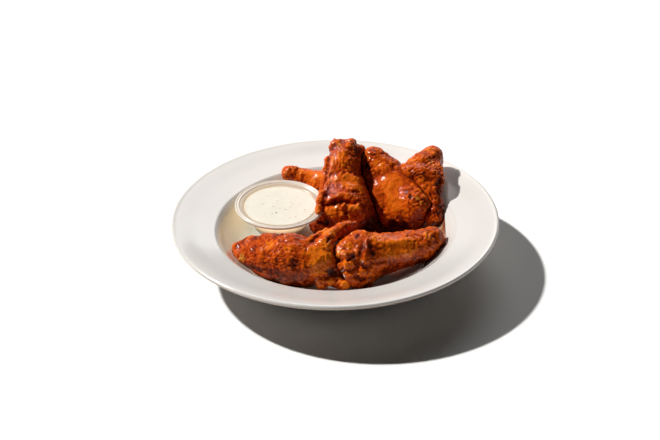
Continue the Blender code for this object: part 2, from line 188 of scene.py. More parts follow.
            ("along", (0.92, -0.25, 0.25), 6.4, 0.55, [(2, 52, 64, 12), (-6, 40, 52, 10)]),
            ("along", (0.90, 0.1, 0.4), 5.6, 0.24, [(20, 44, 54, 12)]),
        ],
        "crust": [(8, 70, 74, 14), (-6, 50, 60, 8), (16, 14, 41, 6)],
        "smooth": [(15, 38, 56, 9)],
        "painted_light_gain": 1.05,
        "painted_light": [(13, 38, 58, 9.5), (16, 12, 46, 9.5), (-7.4, 8, 45, 7), (16, 26, 61, 5), (15.5, 11, 38, 8), (0, 13, 41, 8), (-11, 16, 43, 6), (20, 34, 52, 6), (-12, 33, 47, 7), (-9, 22, 42, 4), (-1, 40, 59, 5), (8, 50, 66, 6), (5, 57, 72, 5), (0, 56, 68, 5)],
        "brown_and_shade": [(5, 18.5, 50.0, 2.8), (11, 18.6, 51, 2.0), (7, 46, 64, 3.5), (-7, 12.5, 34, 3.4), (26, 30, 38, 12), (23, 62, 56, 11), (20, 66, 70, 6), (14, 60, 66, 6), (9.5, 11.5, 43, 2.2), (27, 22, 28, 11), (33, 40, 30, 10)],
        "dull": [],
        "yellow": [(16, 13.5, 41.5, 1.6), (4, 67, 78, 1.8), (15, 67, 77, 1.6)],
        "painted_recess_shade": [(0, 19.4, 48.6, 2.7), (5, 18.6, 50, 3.4), (11, 18.4, 50.4, 2.6), (-7, 12.5, 34, 3.8), (9.6, 11.5, 43, 2.0), (30, 38, 36, 9), (33, 27, 24, 11), (27, 62, 54, 8), (24, 20, 24, 9), (24, 68, 64, 5), (-15, 12, 22, 6), (20, 56, 68, 2.6)],
    },
    "wing_back": {
        "ops": [
            ("add", 1.0, [(60, 42, 30, 20), (50, 55, 40.5, 18.3), (43, 64.5, 52, 13.5), (34, 71, 62, 9.8)]),
            ("add", 3.0, [(66.5, 32, 37.5, 13.8), (58, 50.5, 43, 14.5), (47, 63, 52, 11.5)]),
            # the flank that runs on behind the middle piece
            ("add", 3.0, [(25, 73, 60, 7.5), (30, 65, 48, 11), (39, 54, 36, 15)]),
            # a low lobe filling the gap beside the middle piece's base, coloured near black as painted shade
            ("add", 3.0, [(43, 46, 22, 11.5)]),
            ("add", 3.0, [(36.5, 47, 41, 7.5), (39.5, 39, 34, 7.5), (44, 33, 27, 7.5)]),
            # raised band along the upper edge
            ("add", 2.6, [(28.4, 71.0, 66.4, 3.4), (35.2, 67.2, 66.6, 3.0), (42.0, 64.0, 63.8, 2.8), (48.2, 59.6, 60.6, 2.8), (54.0, 56.8, 57.6, 2.8)]),
            ("fold", 2.6, [(30.4, 63.6, 69.0, 0.9), (37.2, 60.6, 67.6, 1.0), (43.6, 56.4, 65.0, 1.0), (50.2, 52.4, 62.4, 0.9)]),
            # crusty spot near the lower right
            ("add", 1.6, [(63.4, 30.6, 46.6, 3.2), (68.6, 27.4, 45.6, 3.4), (72.8, 25.4, 42.2, 3.2)]),
            ("cut", 1.2, [(62.4, 27.4, 50.8, 1.5), (64.6, 22.6, 48.8, 1.4)]),
            ("fold", 1.2, [(68.4, 24.0, 50.6, 1.4), (71.2, 21.4, 47.2, 1.4)]),
            ("fold", 1.2, [(61.8, 21.0, 46.2, 1.4), (66.8, 18.8, 44.2, 1.4)]),
            # turned edge beside the right piece
            ("add", 1.4, [(64.4, 40.0, 52.4, 2.2), (69.4, 34.0, 50.4, 2.2), (74.6, 29.4, 46.8, 2.2), (77.4, 27.2, 42.0, 2.2), (78.0, 27.0, 36.4, 2.4)]),
        ],
        "ripples": [
            ("along", (0.93, 0.30, 0.2), 5.4, 0.34, [(52, 34, 42, 18)]),
            ("along", (0.35, -0.75, 0.55), 5.4, 0.26, [(42, 60, 62, 12)]),
        ],
        "crust": [(67, 25, 46, 8.0)],
        "smooth": [(47, 42, 47, 19), (54, 30, 38, 12)],
        "painted_light_gain": 1.0,
        "painted_light": [(48, 44, 50, 12), (52, 33, 40, 13), (38, 60, 62, 6), (60, 25, 36, 8)],
        "brown_and_shade": [(58, 20, 27, 6), (66, 19, 29, 5), (63, 27, 49.5, 2.6), (67, 23, 49, 3.0), (60, 32, 52, 3.0), (34, 52, 44, 4), (38, 36, 24, 6), (72, 20, 32, 5), (78, 27, 38, 4), (26, 66, 56, 9), (30, 58, 46, 6), (33, 68, 69, 4)],
        "dull": [(58.5, 32, 51, 6)],
        "yellow": [(68.5, 25.5, 49, 1.9), (71.5, 23, 46, 1.6), (65, 20.8, 46, 1.3)],
        "painted_recess_shade": [(29, 54, 46, 4), (32, 44, 37, 3.5), (38, 35, 21, 7), (49, 27, 24, 7), (58, 22, 21, 7.5), (67, 19, 21, 7), (30, 64, 58, 5), (62.5, 26.5, 50, 1.9), (64.8, 21.6, 48, 1.6), (74, 19, 26, 6)],
    },
    "wing_right": {
        "ops": [
            ("add", 1.0, [(83, 81, 56.5, 8.6), (80.5, 54, 50, 10.2), (82.5, 36.5, 38.5, 7.6), (82.5, 22.5, 31, 7.4)]),
            ("add", 3.0, [(83, 80, 57.2, 8.6), (72.5, 66.5, 58.0, 8.7), (61.0, 57.6, 55.6, 8.0), (71.0, 49, 46.5, 8.5), (82.5, 36.5, 38.5, 7.6)]),
            ("add", 3.0, [(73, 65, 56.0, 9.2), (80.5, 54, 50, 10.2), (72.5, 54, 50, 9)]),
            ("add", 3.5, [(63.5, 52.5, 56.6, 6.6), (69.5, 53.0, 56.8, 7.2), (75.5, 52.5, 55.0, 7.6)]),
            ("add", 3.0, [(72.0, 46.0, 49.5, 6.6), (77.5, 39.0, 45.0, 6.4)]),
            # folds parallel to the upper edge
            ("add", 2.2, [(60.4, 59.6, 58.6, 2.8), (67.2, 64.4, 61.6, 2.8), (74.0, 70.4, 63.4, 2.8), (80.4, 77.0, 63.0, 3.0), (86.0, 78.0, 61.0, 3.0)]),
            # ragged right edge
            ("add", 2.0, [(88.0, 60.4, 56.6, 3.2), (89.4, 52.6, 53.6, 3.2), (88.0, 46.4, 50.6, 3.0)]),
            ("fold", 1.8, [(86.4, 43.6, 55.2, 1.7), (91.4, 42.6, 49.6, 1.9)]),
            # strip beside the broad piece
            ("add", 2.2, [(81.4, 43.4, 48.6, 2.8), (82.0, 35.4, 43.8, 2.8), (83.0, 27.6, 38.4, 2.8), (83.8, 20.4, 34.2, 2.6)]),
        ],
        "ripples": [
            ("along", (0.58, -0.487, -0.65), 6.0, 0.66, [(70, 62, 60, 16), (80, 60, 60, 15), (70, 52, 60, 9)]),
            ("along", (0.97, 0.1, 0.2), 5.2, 0.50, [(84, 32, 43, 11), (84, 20, 35, 11)]),
        ],
        "crust": [(88, 52, 55, 8), (72, 46, 54, 5)],
        "smooth": [],
        "painted_light_gain": 1.0,
        "painted_light": [(66, 61, 60, 9), (80.4, 40, 50, 6), (80, 76, 64, 6), (72, 46, 56, 4), (83, 60, 62, 6), (76, 50, 56, 5)],
        "brown_and_shade": [(84, 38, 48, 8), (84, 24, 38, 9), (76, 38, 47, 5), (88, 46, 54, 4)],
        "dull": [],
        "yellow": [(71.5, 46.0, 55.5, 2.0)],
        "painted_recess_shade": [(84, 17, 27, 7), (80, 24, 32, 4), (74, 44, 50, 2.0)],
    },
    "wing_back_left": {
        "ops": [
            ("add", 1.0, [(-39, 79.5, 43, 6.2), (-25, 77, 40, 7.6), (-11, 72, 37, 11), (6, 67, 32, 15.5), (20, 64, 30.5, 16)]),
            ("add", 2.0, [(-40.4, 76.6, 43.6, 4.0), (-36.0, 77.0, 46.0, 3.6)]),
            ("add", 2.0, [(-35.6, 79.0, 46.6, 3.4), (-30.0, 78.6, 45.0, 3.4)]),
            ("fold", 1.4, [(-38.0, 73.2, 48.0, 1.2), (-36.0, 76.0, 50.8, 1.2)]),
            ("fold", 1.4, [(-31.8, 72.6, 49.2, 1.2), (-29.8, 76.6, 49.6, 1.2)]),
            ("add", 2.0, [(-24.0, 74.6, 44.0, 3.0), (-15.0, 70.8, 43.4, 3.2), (-8.0, 66.6, 43.0, 3.4)]),
        ],
        "ripples": [("along", (0.95, -0.1, 0.2), 5.4, 0.30, [(-20, 72, 44, 16)])],
        "crust": [(-38, 77, 45, 8)],
        "smooth": [(-18, 72, 44, 7)],
        "painted_light_gain": 1.0,
        "painted_light": [(-18, 70, 46, 9), (-10, 64, 44, 8), (-30, 75, 47, 5)],
        "brown_and_shade": [(-42, 77, 41, 3), (-26, 72, 38, 5)],
        "dull": [],
        "yellow": [(-16, 67, 45, 1.4)],
        "painted_recess_shade": [(-43.5, 76, 42, 2.6), (-30, 71, 36, 5), (-12, 62, 34, 6)],
    },
}

# ======================================================================================
# Noise and distance fields
# ======================================================================================
STEP = 0.6
LOW = np.array([-92.0, -76.0, 7.0])
COUNT = np.array([316, 290, 128])
FAR = 6.0


def hashed(ix, iy, iz, seed):
    h = (ix.astype(np.int64) * 374761393 + iy.astype(np.int64) * 668265263 + iz.astype(np.int64) * 2147483647 + seed * 1274126177) & 0xFFFFFFFF
    h = ((h ^ (h >> 13)) * 1274126177) & 0xFFFFFFFF
    h = ((h ^ (h >> 16)) * 2246822519) & 0xFFFFFFFF
    return h ^ (h >> 15)


def gradient_noise(P, size, seed):
    """Smooth noise of about -1 to 1 at points in millimetres; size is the width of its lumps."""
    q = P / size
    i = np.floor(q).astype(np.int64)
    f = q - i
    u = f * f * f * (f * (f * 6 - 15) + 10)
    out = np.zeros(len(P))
    for dx in (0, 1):
        for dy in (0, 1):
            for dz in (0, 1):
                h = hashed(i[:, 0] + dx, i[:, 1] + dy, i[:, 2] + dz, seed)
                gx = (h & 1023) / 511.5 - 1
                gy = ((h >> 10) & 1023) / 511.5 - 1
                gz = ((h >> 20) & 1023) / 511.5 - 1
                w = (u[:, 0] if dx else 1 - u[:, 0]) * (u[:, 1] if dy else 1 - u[:, 1]) * (u[:, 2] if dz else 1 - u[:, 2])
                out += w * (gx * (f[:, 0] - dx) + gy * (f[:, 1] - dy) + gz * (f[:, 2] - dz))
    return out * 1.5


def cell_distance(P, size, seed):
    """Distance to the nearest of scattered points, in cells: 0 at a point, about 0.5 between them."""
    q = P / size
    i = np.floor(q).astype(np.int64)
    best = np.full(len(P), 9.0)
    for dx in (-1, 0, 1):
        for dy in (-1, 0, 1):
            for dz in (-1, 0, 1):
                cx, cy, cz = i[:, 0] + dx, i[:, 1] + dy, i[:, 2] + dz
                h = hashed(cx, cy, cz, seed)
                d = (cx + (h & 1023) / 1023.0 - q[:, 0]) ** 2 + (cy + ((h >> 10) & 1023) / 1023.0 - q[:, 1]) ** 2 + (cz + ((h >> 20) & 1023) / 1023.0 - q[:, 2]) ** 2
                best = np.minimum(best, d)
    return np.sqrt(best)


def smoothstep(a, b, x):
    t = np.clip((x - a) / (b - a), 0, 1)
    return t * t * (3 - 2 * t)


def axes_of(lo, hi):
    return [(LOW[i] + STEP * np.arange(lo[i], hi[i])).astype(np.float32) for i in range(3)]


def block_of(points, margin):
    pts = np.asarray(points, float)
    lo = np.floor((pts.min(0) - margin - LOW) / STEP).astype(int)
    hi = np.ceil((pts.max(0) + margin - LOW) / STEP).astype(int) + 1
    return np.clip(lo, 0, COUNT), np.clip(hi, 0, COUNT)


def smooth_min(a, b, k):
    h = np.maximum(k - np.abs(a - b), 0.0) / k
    return np.minimum(a, b) - h * h * k * 0.25


def smooth_max(a, b, k):
    return -smooth_min(-a, -b, k)


def cone_distance(x, y, z, a, b):
    ax, ay, az, ar = a
    bx, by, bz = b[0] - ax, b[1] - ay, b[2] - az
    l2 = max(bx * bx + by * by + bz * bz, 1e-6)
    px, py, pz = x - np.float32(ax), y - np.float32(ay), z - np.float32(az)
    t = np.clip((px * np.float32(bx) + py * np.float32(by) + pz * np.float32(bz)) / np.float32(l2), 0, 1)
    dx = px - t * np.float32(bx)
    dy = py - t * np.float32(by)
    dz = pz - t * np.float32(bz)
    return np.sqrt(dx * dx + dy * dy + dz * dz) - (np.float32(ar) + t * np.float32(b[3] - ar))


def stamp(field, chain, blend, cut):
    pairs = list(zip(chain, chain[1:])) if len(chain) > 1 else [(chain[0], chain[0])]
    reach = max(c[3] for c in chain) + blend + (1.0 if cut else FAR)
    lo, hi = block_of([c[:3] for c in chain], reach)
    gx, gy, gz = axes_of(lo, hi)
    x, y, z = gx[:, None, None], gy[None, :, None], gz[None, None, :]
    whole = None
    for a, b in pairs:
        d = cone_distance(x, y, z, a, b)
        whole = d if whole is None else smooth_min(whole, d, 1.5)
    part = field[lo[0]:hi[0], lo[1]:hi[1], lo[2]:hi[2]]
    part[...] = smooth_max(part, -whole, blend) if cut else smooth_min(part, whole, blend)


def surface_nets(f, origin, step):
    """Quads on the zero surface of f, which is negative inside: one point in each crossed cell."""
    inside = f < 0
    nx, ny, nz = f.shape
    corners = [(i, j, k) for i in (0, 1) for j in (0, 1) for k in (0, 1)]
    c = np.zeros((nx - 1, ny - 1, nz - 1), np.int8)
    for i, j, k in corners:
        c += inside[i:nx - 1 + i, j:ny - 1 + j, k:nz - 1 + k]
    I, J, K = np.nonzero((c > 0) & (c < 8))
    index = -np.ones(c.shape, np.int64)
    index[I, J, K] = np.arange(len(I))
    total = np.zeros((len(I), 3))
    number = np.zeros(len(I))
    for a in corners:
        for axis in range(3):
            if a[axis]:
                continue
            b = list(a)
            b[axis] = 1
            fa = f[I + a[0], J + a[1], K + a[2]].astype(float)
            fb = f[I + b[0], J + b[1], K + b[2]].astype(float)
            m = (fa < 0) != (fb < 0)
            p = np.tile(np.array(a, float), (int(m.sum()), 1))
            p[:, axis] += fa[m] / (fa[m] - fb[m])
            total[m] += p
            number[m] += 1
    verts = (np.c_[I, J, K] + total / number[:, None]) * step + origin
    quads = []
    for axis in range(3):
        u, v = (axis + 1) % 3, (axis + 2) % 3
        near, far, trim = [slice(None)] * 3, [slice(None)] * 3, [slice(None)] * 3
        near[axis], far[axis] = slice(0, -1), slice(1, None)
        trim[u] = trim[v] = slice(1, -1)
        change = inside[tuple(near)] != inside[tuple(far)]
        E = np.argwhere(change[tuple(trim)])
        E[:, u] += 1
        E[:, v] += 1
        starts = inside[tuple(near)][E[:, 0], E[:, 1], E[:, 2]]
        ring = []
        for du, dv in ((-1, -1), (0, -1), (0, 0), (-1, 0)):
            q = E.copy()
            q[:, u] += du
            q[:, v] += dv
            ring.append(index[q[:, 0], q[:, 1], q[:, 2]])
        q = np.stack(ring, 1)
        q[~starts] = q[~starts][:, ::-1]
        quads.append(q)
    return verts, np.concatenate(quads)


def sample(field, P, lo=(0, 0, 0)):
    g = (P - LOW) / STEP - np.array(lo)
    g = np.clip(g, 0, np.array(field.shape) - 1.001)
    i = np.floor(g).astype(int)
    t = g - i
    out = np.zeros(len(P))
    for dx in (0, 1):
        for dy in (0, 1):
            for dz in (0, 1):
                w = (t[:, 0] if dx else 1 - t[:, 0]) * (t[:, 1] if dy else 1 - t[:, 1]) * (t[:, 2] if dz else 1 - t[:, 2])
                out += w * field[i[:, 0] + dx, i[:, 1] + dy, i[:, 2] + dz]
    return out


# ---- bowl and cup profiles -----------------------------------------------------------
def well_height(r):
    t = max(0.0, (r - FLOOR_RADIUS) / (WELL_RADIUS - FLOOR_RADIUS))
    return FLOOR_HEIGHT + (CREASE_HEIGHT - 1.2 - FLOOR_HEIGHT) * t ** 1.9


def rim_height(r):
    return CREASE_HEIGHT + (BOWL_HEIGHT - CREASE_HEIGHT) * (r - WELL_RADIUS) / (BOWL_RADIUS - WELL_RADIUS)


def cup_inner(z):
    return CUP_FOOT - CUP_WALL + (CUP_TOP - 7.7 - CUP_FOOT + CUP_WALL) * z / (CUP_HEIGHT - 2.4)


def from_cup(points):
    """Points about the cup's own base, placed where the cup stands."""
    P = np.asarray(points, float)
    c, s = math.cos(CUP_TILT), math.sin(CUP_TILT)
    return np.c_[CUP_PLACE[0] + P[:, 0], CUP_PLACE[1] + P[:, 1] * c - P[:, 2] * s, CUP_BASE + P[:, 1] * s + P[:, 2] * c]


def bowl_inner_profile():
    pts = [(0.0, FLOOR_HEIGHT)]
    pts += [(r, FLOOR_HEIGHT) for r in np.linspace(6, FLOOR_RADIUS, 24)]
    pts += [(r, well_height(r)) for r in np.linspace(FLOOR_RADIUS + 0.8, 92.6, 42)]
    # the wall runs into the rim in one soft curve
    a, b, c = (92.6, well_height(92.6)), (97.2, 37.2), (99.8, rim_height(99.8))
    for t in np.linspace(0, 1, 26)[1:]:
        pts.append(((1 - t) ** 2 * a[0] + 2 * t * (1 - t) * b[0] + t * t * c[0], (1 - t) ** 2 * a[1] + 2 * t * (1 - t) * b[1] + t * t * c[1]))
    # the rim lifts a little as it runs into the rounded lip
    for r in np.linspace(101.2, BOWL_RADIUS - 2.7, 36):
        sag = 0.18 * math.sin(math.pi * (r - WELL_RADIUS) / (BOWL_RADIUS - WELL_RADIUS))
        pts.append((r, rim_height(r) - sag + LIP_LIFT * float(smoothstep(114.0, 131.0, np.array(r)))))
    return pts


def resting_field(block_lo, block_hi, profile):
    """Distance above a turned surface about Z, for the grid block: negative below it."""
    gx, gy, gz = axes_of(block_lo, block_hi)
    line = []
    for (r0, z0), (r1, z1) in zip(profile, profile[1:]):
        n = max(1, int(math.hypot(r1 - r0, z1 - z0) / 0.5))
        line += [(r0 + (r1 - r0) * i / n, z0 + (z1 - z0) * i / n) for i in range(n)]
    line = np.array(line + [profile[-1]])
    rr = np.arange(0, 136, 0.5)
    table = np.empty((len(rr), len(gz)))
    height = np.interp(rr, line[:, 0], line[:, 1])
    for k, z in enumerate(gz):
        d = np.sqrt(((line[None, :, 0] - rr[:, None]) ** 2 + (line[None, :, 1] - z) ** 2).min(1))
        table[:, k] = np.where(z >= height, d, -d)
    r = np.sqrt(gx[:, None] ** 2 + gy[None, :] ** 2) / 0.5
    i = np.clip(np.floor(r).astype(int), 0, len(rr) - 2)
    t = (r - i)[..., None]
    return ((1 - t) * table[i] + t * table[i + 1]).astype(np.float32)


def cup_field(block_lo, block_hi):
    """Distance outside the cup, negative within it."""
    gx, gy, gz = axes_of(block_lo, block_hi)
    c, s = math.cos(CUP_TILT), math.sin(CUP_TILT)
    dy, dz = gy[None, :, None] - CUP_PLACE[1], gz[None, None, :] - CUP_BASE
    y, z = dy * c + dz * s, dz * c - dy * s
    r = np.sqrt((gx[:, None, None] - CUP_PLACE[0]) ** 2 + y ** 2)
    wall = np.interp(z, [-4.0, 0.0, 2.0, CUP_HEIGHT - 5.0, CUP_HEIGHT - 1.6, CUP_HEIGHT], [CUP_FOOT, CUP_FOOT, cup_inner(2.0) + CUP_WALL, cup_inner(CUP_HEIGHT - 5.0) + CUP_WALL, CUP_TOP, CUP_TOP])
    side = (r - wall) * 0.9
    over = np.broadcast_to(z - CUP_HEIGHT, side.shape)
    return np.where((side > 0) & (over > 0), np.sqrt(np.maximum(side, 0) ** 2 + np.maximum(over, 0) ** 2), np.maximum(side, over)).astype(np.float32)


# ======================================================================================
# Mesh helpers
# ======================================================================================
def mesh_object(name, verts_mm, faces, smooth=True):
    """Faces are an array of quads or a list of polygons; points in millimetres."""
    mesh = bpy.data.meshes.new(name)
    verts = np.asarray(verts_mm, np.float64) * MM
    mesh.vertices.add(len(verts))
    mesh.vertices.foreach_set("co", verts.astype(np.float32).ravel())
    if isinstance(faces, np.ndarray):
        loops, sizes = faces.ravel(), np.full(len(faces), faces.shape[1])
    else:
        sizes = np.array([len(f) for f in faces])
        loops = np.fromiter((i for f in faces for i in f), np.int64)
    mesh.loops.add(len(loops))
    mesh.loops.foreach_set("vertex_index", loops.astype(np.int32))
    mesh.polygons.add(len(sizes))
    mesh.polygons.foreach_set("loop_start", np.r_[0, np.cumsum(sizes)[:-1]].astype(np.int32))
    mesh.polygons.foreach_set("loop_total", sizes.astype(np.int32))
    mesh.update(calc_edges=True)
    mesh.validate()
    if smooth:
        mesh.shade_smooth()
    obj = bpy.data.objects.new(name, mesh)
    bpy.context.scene.collection.objects.link(obj)
    return obj


def point_attribute(obj, name, values):
    attribute = obj.data.attributes.new(name, "FLOAT", "POINT")
    attribute.data.foreach_set("value", np.asarray(values, np.float32))


def vertex_normals(V, Q):
    n = np.cross(V[Q[:, 2]] - V[Q[:, 0]], V[Q[:, 3]] - V[Q[:, 1]])
    out = np.zeros_like(V)
    for c in range(4):
        for k in range(3):
            out[:, k] += np.bincount(Q[:, c], weights=n[:, k], minlength=len(V))
    return out / np.maximum(np.linalg.norm(out, axis=1), 1e-9)[:, None]


def neighbour_smoother(Q, count):
    """A function that averages values over each point and its neighbours, a number of times."""
    e = np.concatenate([Q[:, [0, 1]], Q[:, [1, 2]], Q[:, [2, 3]], Q[:, [3, 0]]])
    a, b = e[:, 0], e[:, 1]
    degree = np.bincount(a, minlength=count) + np.bincount(b, minlength=count)

    def smooth(values, times, share=0.7):
        v = np.array(values, float)
        flat = v.ndim == 1
        if flat:
            v = v[:, None]
        for _ in range(times):
            s = np.stack([np.bincount(a, weights=v[b, k], minlength=count) + np.bincount(b, weights=v[a, k], minlength=count) for k in range(v.shape[1])], 1)
            v = (1 - share) * v + share * s / np.maximum(degree, 1)[:, None]
        return v[:, 0] if flat else v

    return smooth


def turned(name, profile, steps, place=None):
    """A closed turned solid from (radius, height) points whose two ends are on the axis."""
    rings = profile[1:-1]
    angle = np.linspace(0, 2 * math.pi, steps, endpoint=False)
    verts = [(0.0, 0.0, profile[0][1])]
    for r, z in rings:
        verts += [(r * math.cos(a), r * math.sin(a), z) for a in angle]
    verts.append((0.0, 0.0, profile[-1][1]))
    last = len(verts) - 1
    faces = []
    for k in range(steps):
        j = (k + 1) % steps
        faces.append((0, 1 + k, 1 + j))
        for i in range(len(rings) - 1):
            a, b = 1 + i * steps, 1 + (i + 1) * steps
            faces.append((a + k, b + k, b + j, a + j))
        c = 1 + (len(rings) - 1) * steps
        faces.append((c + k, last, c + j))
    return mesh_object(name, place(verts) if place else verts, faces)


# ======================================================================================
# Materials
# ======================================================================================
class Nodes:
    """Short names for building a node tree."""

    def __init__(self, name):
        self.mat = bpy.data.materials.new(name)
        self.mat.use_nodes = True
        self.tree = self.mat.node_tree
        self.shader = self.tree.nodes["Principled BSDF"]

    def set(self, socket, value):
        self.shader.inputs[socket].default_value = value

    def link(self, out, socket):
        self.tree.links.new(out, socket)

    def to(self, socket, out):
        self.tree.links.new(out, self.shader.inputs[socket])

    def place(self):
        if not hasattr(self, "_place"):
            self._place = self.tree.nodes.new("ShaderNodeTexCoord").outputs["Object"]
        return self._place

    def noise(self, scale, detail=3.0, rough=0.55, warp=0.0, vector=None):
        n = self.tree.nodes.new("ShaderNodeTexNoise")
        n.inputs["Scale"].default_value = scale
        n.inputs["Detail"].default_value = detail
        n.inputs["Roughness"].default_value = rough
        n.inputs["Distortion"].default_value = warp
        self.link(vector if vector is not None else self.place(), n.inputs["Vector"])
        return n.outputs["Fac"]

    def voronoi(self, scale, feature="F1", vector=None):
        n = self.tree.nodes.new("ShaderNodeTexVoronoi")
        n.feature = feature
        n.inputs["Scale"].default_value = scale
        self.link(vector if vector is not None else self.place(), n.inputs["Vector"])
        return n.outputs["Distance"]

    def attribute(self, name):
        n = self.tree.nodes.new("ShaderNodeAttribute")
        n.attribute_name = name
        return n.outputs["Fac"]

    def math(self, kind, a, b=None, clamp=False):
        n = self.tree.nodes.new("ShaderNodeMath")
        n.operation = kind
        n.use_clamp = clamp
        for i, v in enumerate((a, b)):
            if v is None:
                continue
            if isinstance(v, (int, float)):
                n.inputs[i].default_value = v
            else:
                self.link(v, n.inputs[i])
        return n.outputs[0]

    def ramp(self, fac, stops, ease="LINEAR"):
        n = self.tree.nodes.new("ShaderNodeValToRGB")
        n.color_ramp.interpolation = ease
        while len(n.color_ramp.elements) < len(stops):
            n.color_ramp.elements.new(0.5)
        for e, (pos, colour) in zip(n.color_ramp.elements, stops):
            e.position = pos
            e.color = (*colour, 1.0) if isinstance(colour, tuple) else (colour, colour, colour, 1.0)
        self.link(fac, n.inputs["Fac"])
        return n.outputs["Color"]

    def mix(self, fac, a, b, blend="MIX"):
        n = self.tree.nodes.new("ShaderNodeMix")
        n.data_type = "RGBA"
        n.blend_type = blend
        for socket, v in ((n.inputs[0], fac), (n.inputs[6], a), (n.inputs[7], b)):
            if isinstance(v, (int, float)):
                socket.default_value = v
            elif isinstance(v, tuple):
                socket.default_value = (*v, 1.0)
            else:
                self.link(v, socket)
        return n.outputs[2]

    def bump(self, height, distance, strength=1.0, after=None):
        n = self.tree.nodes.new("ShaderNodeBump")
        n.inputs["Strength"].default_value = strength
        n.inputs["Distance"].default_value = distance
        self.link(height, n.inputs["Height"])
        if after is not None:
            self.link(after, n.inputs["Normal"])
        return n.outputs["Normal"]


def wing_material():
    """Browned skin under a sticky glaze: orange where it is thin, brown-red where it pools; lighter as painted light on
    sunlit patches, darker as painted shade on shaded parts, and near black as painted shade in hollows, under the
    pieces and between them.
    """
    n = Nodes("sauced_wing")
    blotch = n.noise(75.0, 3.0, 0.55, 0.6)
    speck = n.noise(420.0, 3.0, 0.6)
    tone = n.math("ADD", n.math("MULTIPLY", n.attribute("fine"), 0.09), n.math("MULTIPLY", n.attribute("middle"), 0.18))
    tone = n.math("ADD", tone, n.math("MULTIPLY", n.attribute("wide"), 0.10))
    tone = n.math("ADD", tone, n.math("MULTIPLY", n.math("SUBTRACT", blotch, 0.5), 0.27))
    tone = n.math("ADD", tone, n.math("MULTIPLY", n.math("SUBTRACT", speck, 0.5), 0.10))
    tone = n.math("MULTIPLY", tone, n.math("SUBTRACT", 1.0, n.math("MULTIPLY", n.attribute("calm"), 0.45)))
    # painted light: the glaze made lighter on sunlit patches
    tone = n.math("ADD", tone, n.math("MULTIPLY", n.attribute("painted_light"), 0.34))
    # darker glaze, for browner skin and as painted shade on shaded parts and where pieces touch
    tone = n.math("SUBTRACT", tone, n.math("MULTIPLY", n.attribute("brown_and_shade"), 0.34))
    tone = n.math("SUBTRACT", tone, n.math("MULTIPLY", n.attribute("dull"), 0.05))
    tone = n.math("ADD", tone, 0.47, clamp=True)
    colour = n.ramp(tone, [(0.0, (0.115, 0.0080, 0.0006)), (0.25, (0.250, 0.0225, 0.0009)), (0.50, (0.440, 0.0500, 0.0015)), (0.75, (0.625, 0.0960, 0.0024)), (1.0, (0.770, 0.1660, 0.0056))])
    crusty = n.math("MULTIPLY", n.attribute("yellow"), n.math("ADD", n.math("MULTIPLY", speck, 1.4), 0.0), clamp=True)
    colour = n.mix(crusty, colour, (0.52, 0.22, 0.030))
    # painted shade: near black in hollows, under the pieces and in the gaps between them
    colour = n.mix(n.math("MULTIPLY", n.attribute("painted_recess_shade"), 0.84), colour, (0.018, 0.0022, 0.0006))
    n.to("Base Color", colour)
    n.set("Subsurface Weight", 0.05)
    n.set("Subsurface Radius", (1.0, 0.28, 0.10))
    n.set("Subsurface Scale", 0.0016)
    n.set("IOR", 1.45)
    n.set("Specular IOR Level", 0.10)
    n.set("Specular Tint", (1.0, 0.50, 0.20, 1.0))
    glaze = n.ramp(n.noise(130.0, 2.0, 0.5), [(0.35, 0.24), (0.65, 0.68)])
    n.to("Coat Weight", n.math("MULTIPLY", glaze, n.math("SUBTRACT", 1.0, n.math("MULTIPLY", n.attribute("dull"), 0.72))))
    n.set("Coat Roughness", 0.09)
    n.set("Coat IOR", 1.48)
    n.to("Roughness", n.ramp(n.noise(160.0, 3.0, 0.6), [(0.30, 0.50), (0.70, 0.75)]))
    small = n.noise(1100.0, 3.0, 0.55)
    middling = n.noise(420.0, 3.0, 0.5, 0.4)
    wet = n.bump(small, 0.00022, 0.52, after=n.bump(middling, 0.00060, 0.62))
    n.to("Normal", wet)
    n.to("Coat Normal", n.bump(n.noise(620.0, 2.0, 0.5, 0.3), 0.00024, 0.30))
    return n.mat


def stoneware_material():
    n = Nodes("white_glaze")
    cloud = n.noise(14.0, 3.0, 0.5)
    colour = n.ramp(cloud, [(0.3, (0.582, 0.562, 0.538)), (0.7, (0.607, 0.587, 0.563))])
    # painted light: the rim lighter towards the right, the back and the front lip, where it catches more light and
    # reflection
    colour = n.mix(n.attribute("outer"), colour, (0.730, 0.700, 0.665))
    # painted shade: the front of the rim darker
    colour = n.mix(n.attribute("front_painted_shade"), colour, (0.515, 0.494, 0.470))
    # painted light: the well's wall and floor lighter and warmer, most on the left, and near white towards the back
    wall = n.mix(n.attribute("low"), (0.75, 0.745, 0.635), (0.83, 0.845, 0.740))
    colour = n.mix(n.attribute("well_painted_light"), colour, n.mix(n.attribute("back"), wall, (0.96, 0.925, 0.88)))
    # painted shade: the underside dark, less dark under the lip
    colour = n.mix(n.attribute("under"), colour, n.mix(n.attribute("lip"), (0.20, 0.180, 0.160), (0.44, 0.365, 0.29)))
    colour = n.mix(n.attribute("unglazed"), colour, (0.40, 0.33, 0.26))
    n.to("Base Color", colour)
    n.to("Roughness", n.math("ADD", n.ramp(n.noise(40.0, 2.0, 0.5), [(0.3, 0.16), (0.7, 0.24)]), n.math("MULTIPLY", n.attribute("unglazed"), 0.5)))
    n.set("IOR", 1.6)
    shiny = n.math("SUBTRACT", 1.0, n.attribute("far_edge"))
    n.to("Specular IOR Level", n.math("MULTIPLY", shiny, 0.5))
    n.to("Coat Weight", n.math("MULTIPLY", shiny, 0.6))
    n.set("Coat IOR", 1.6)
    n.set("Coat Roughness", 0.12)
    n.to("Normal", n.bump(n.noise(30.0, 2.0, 0.4), 0.0006, 0.10))
    return n.mat


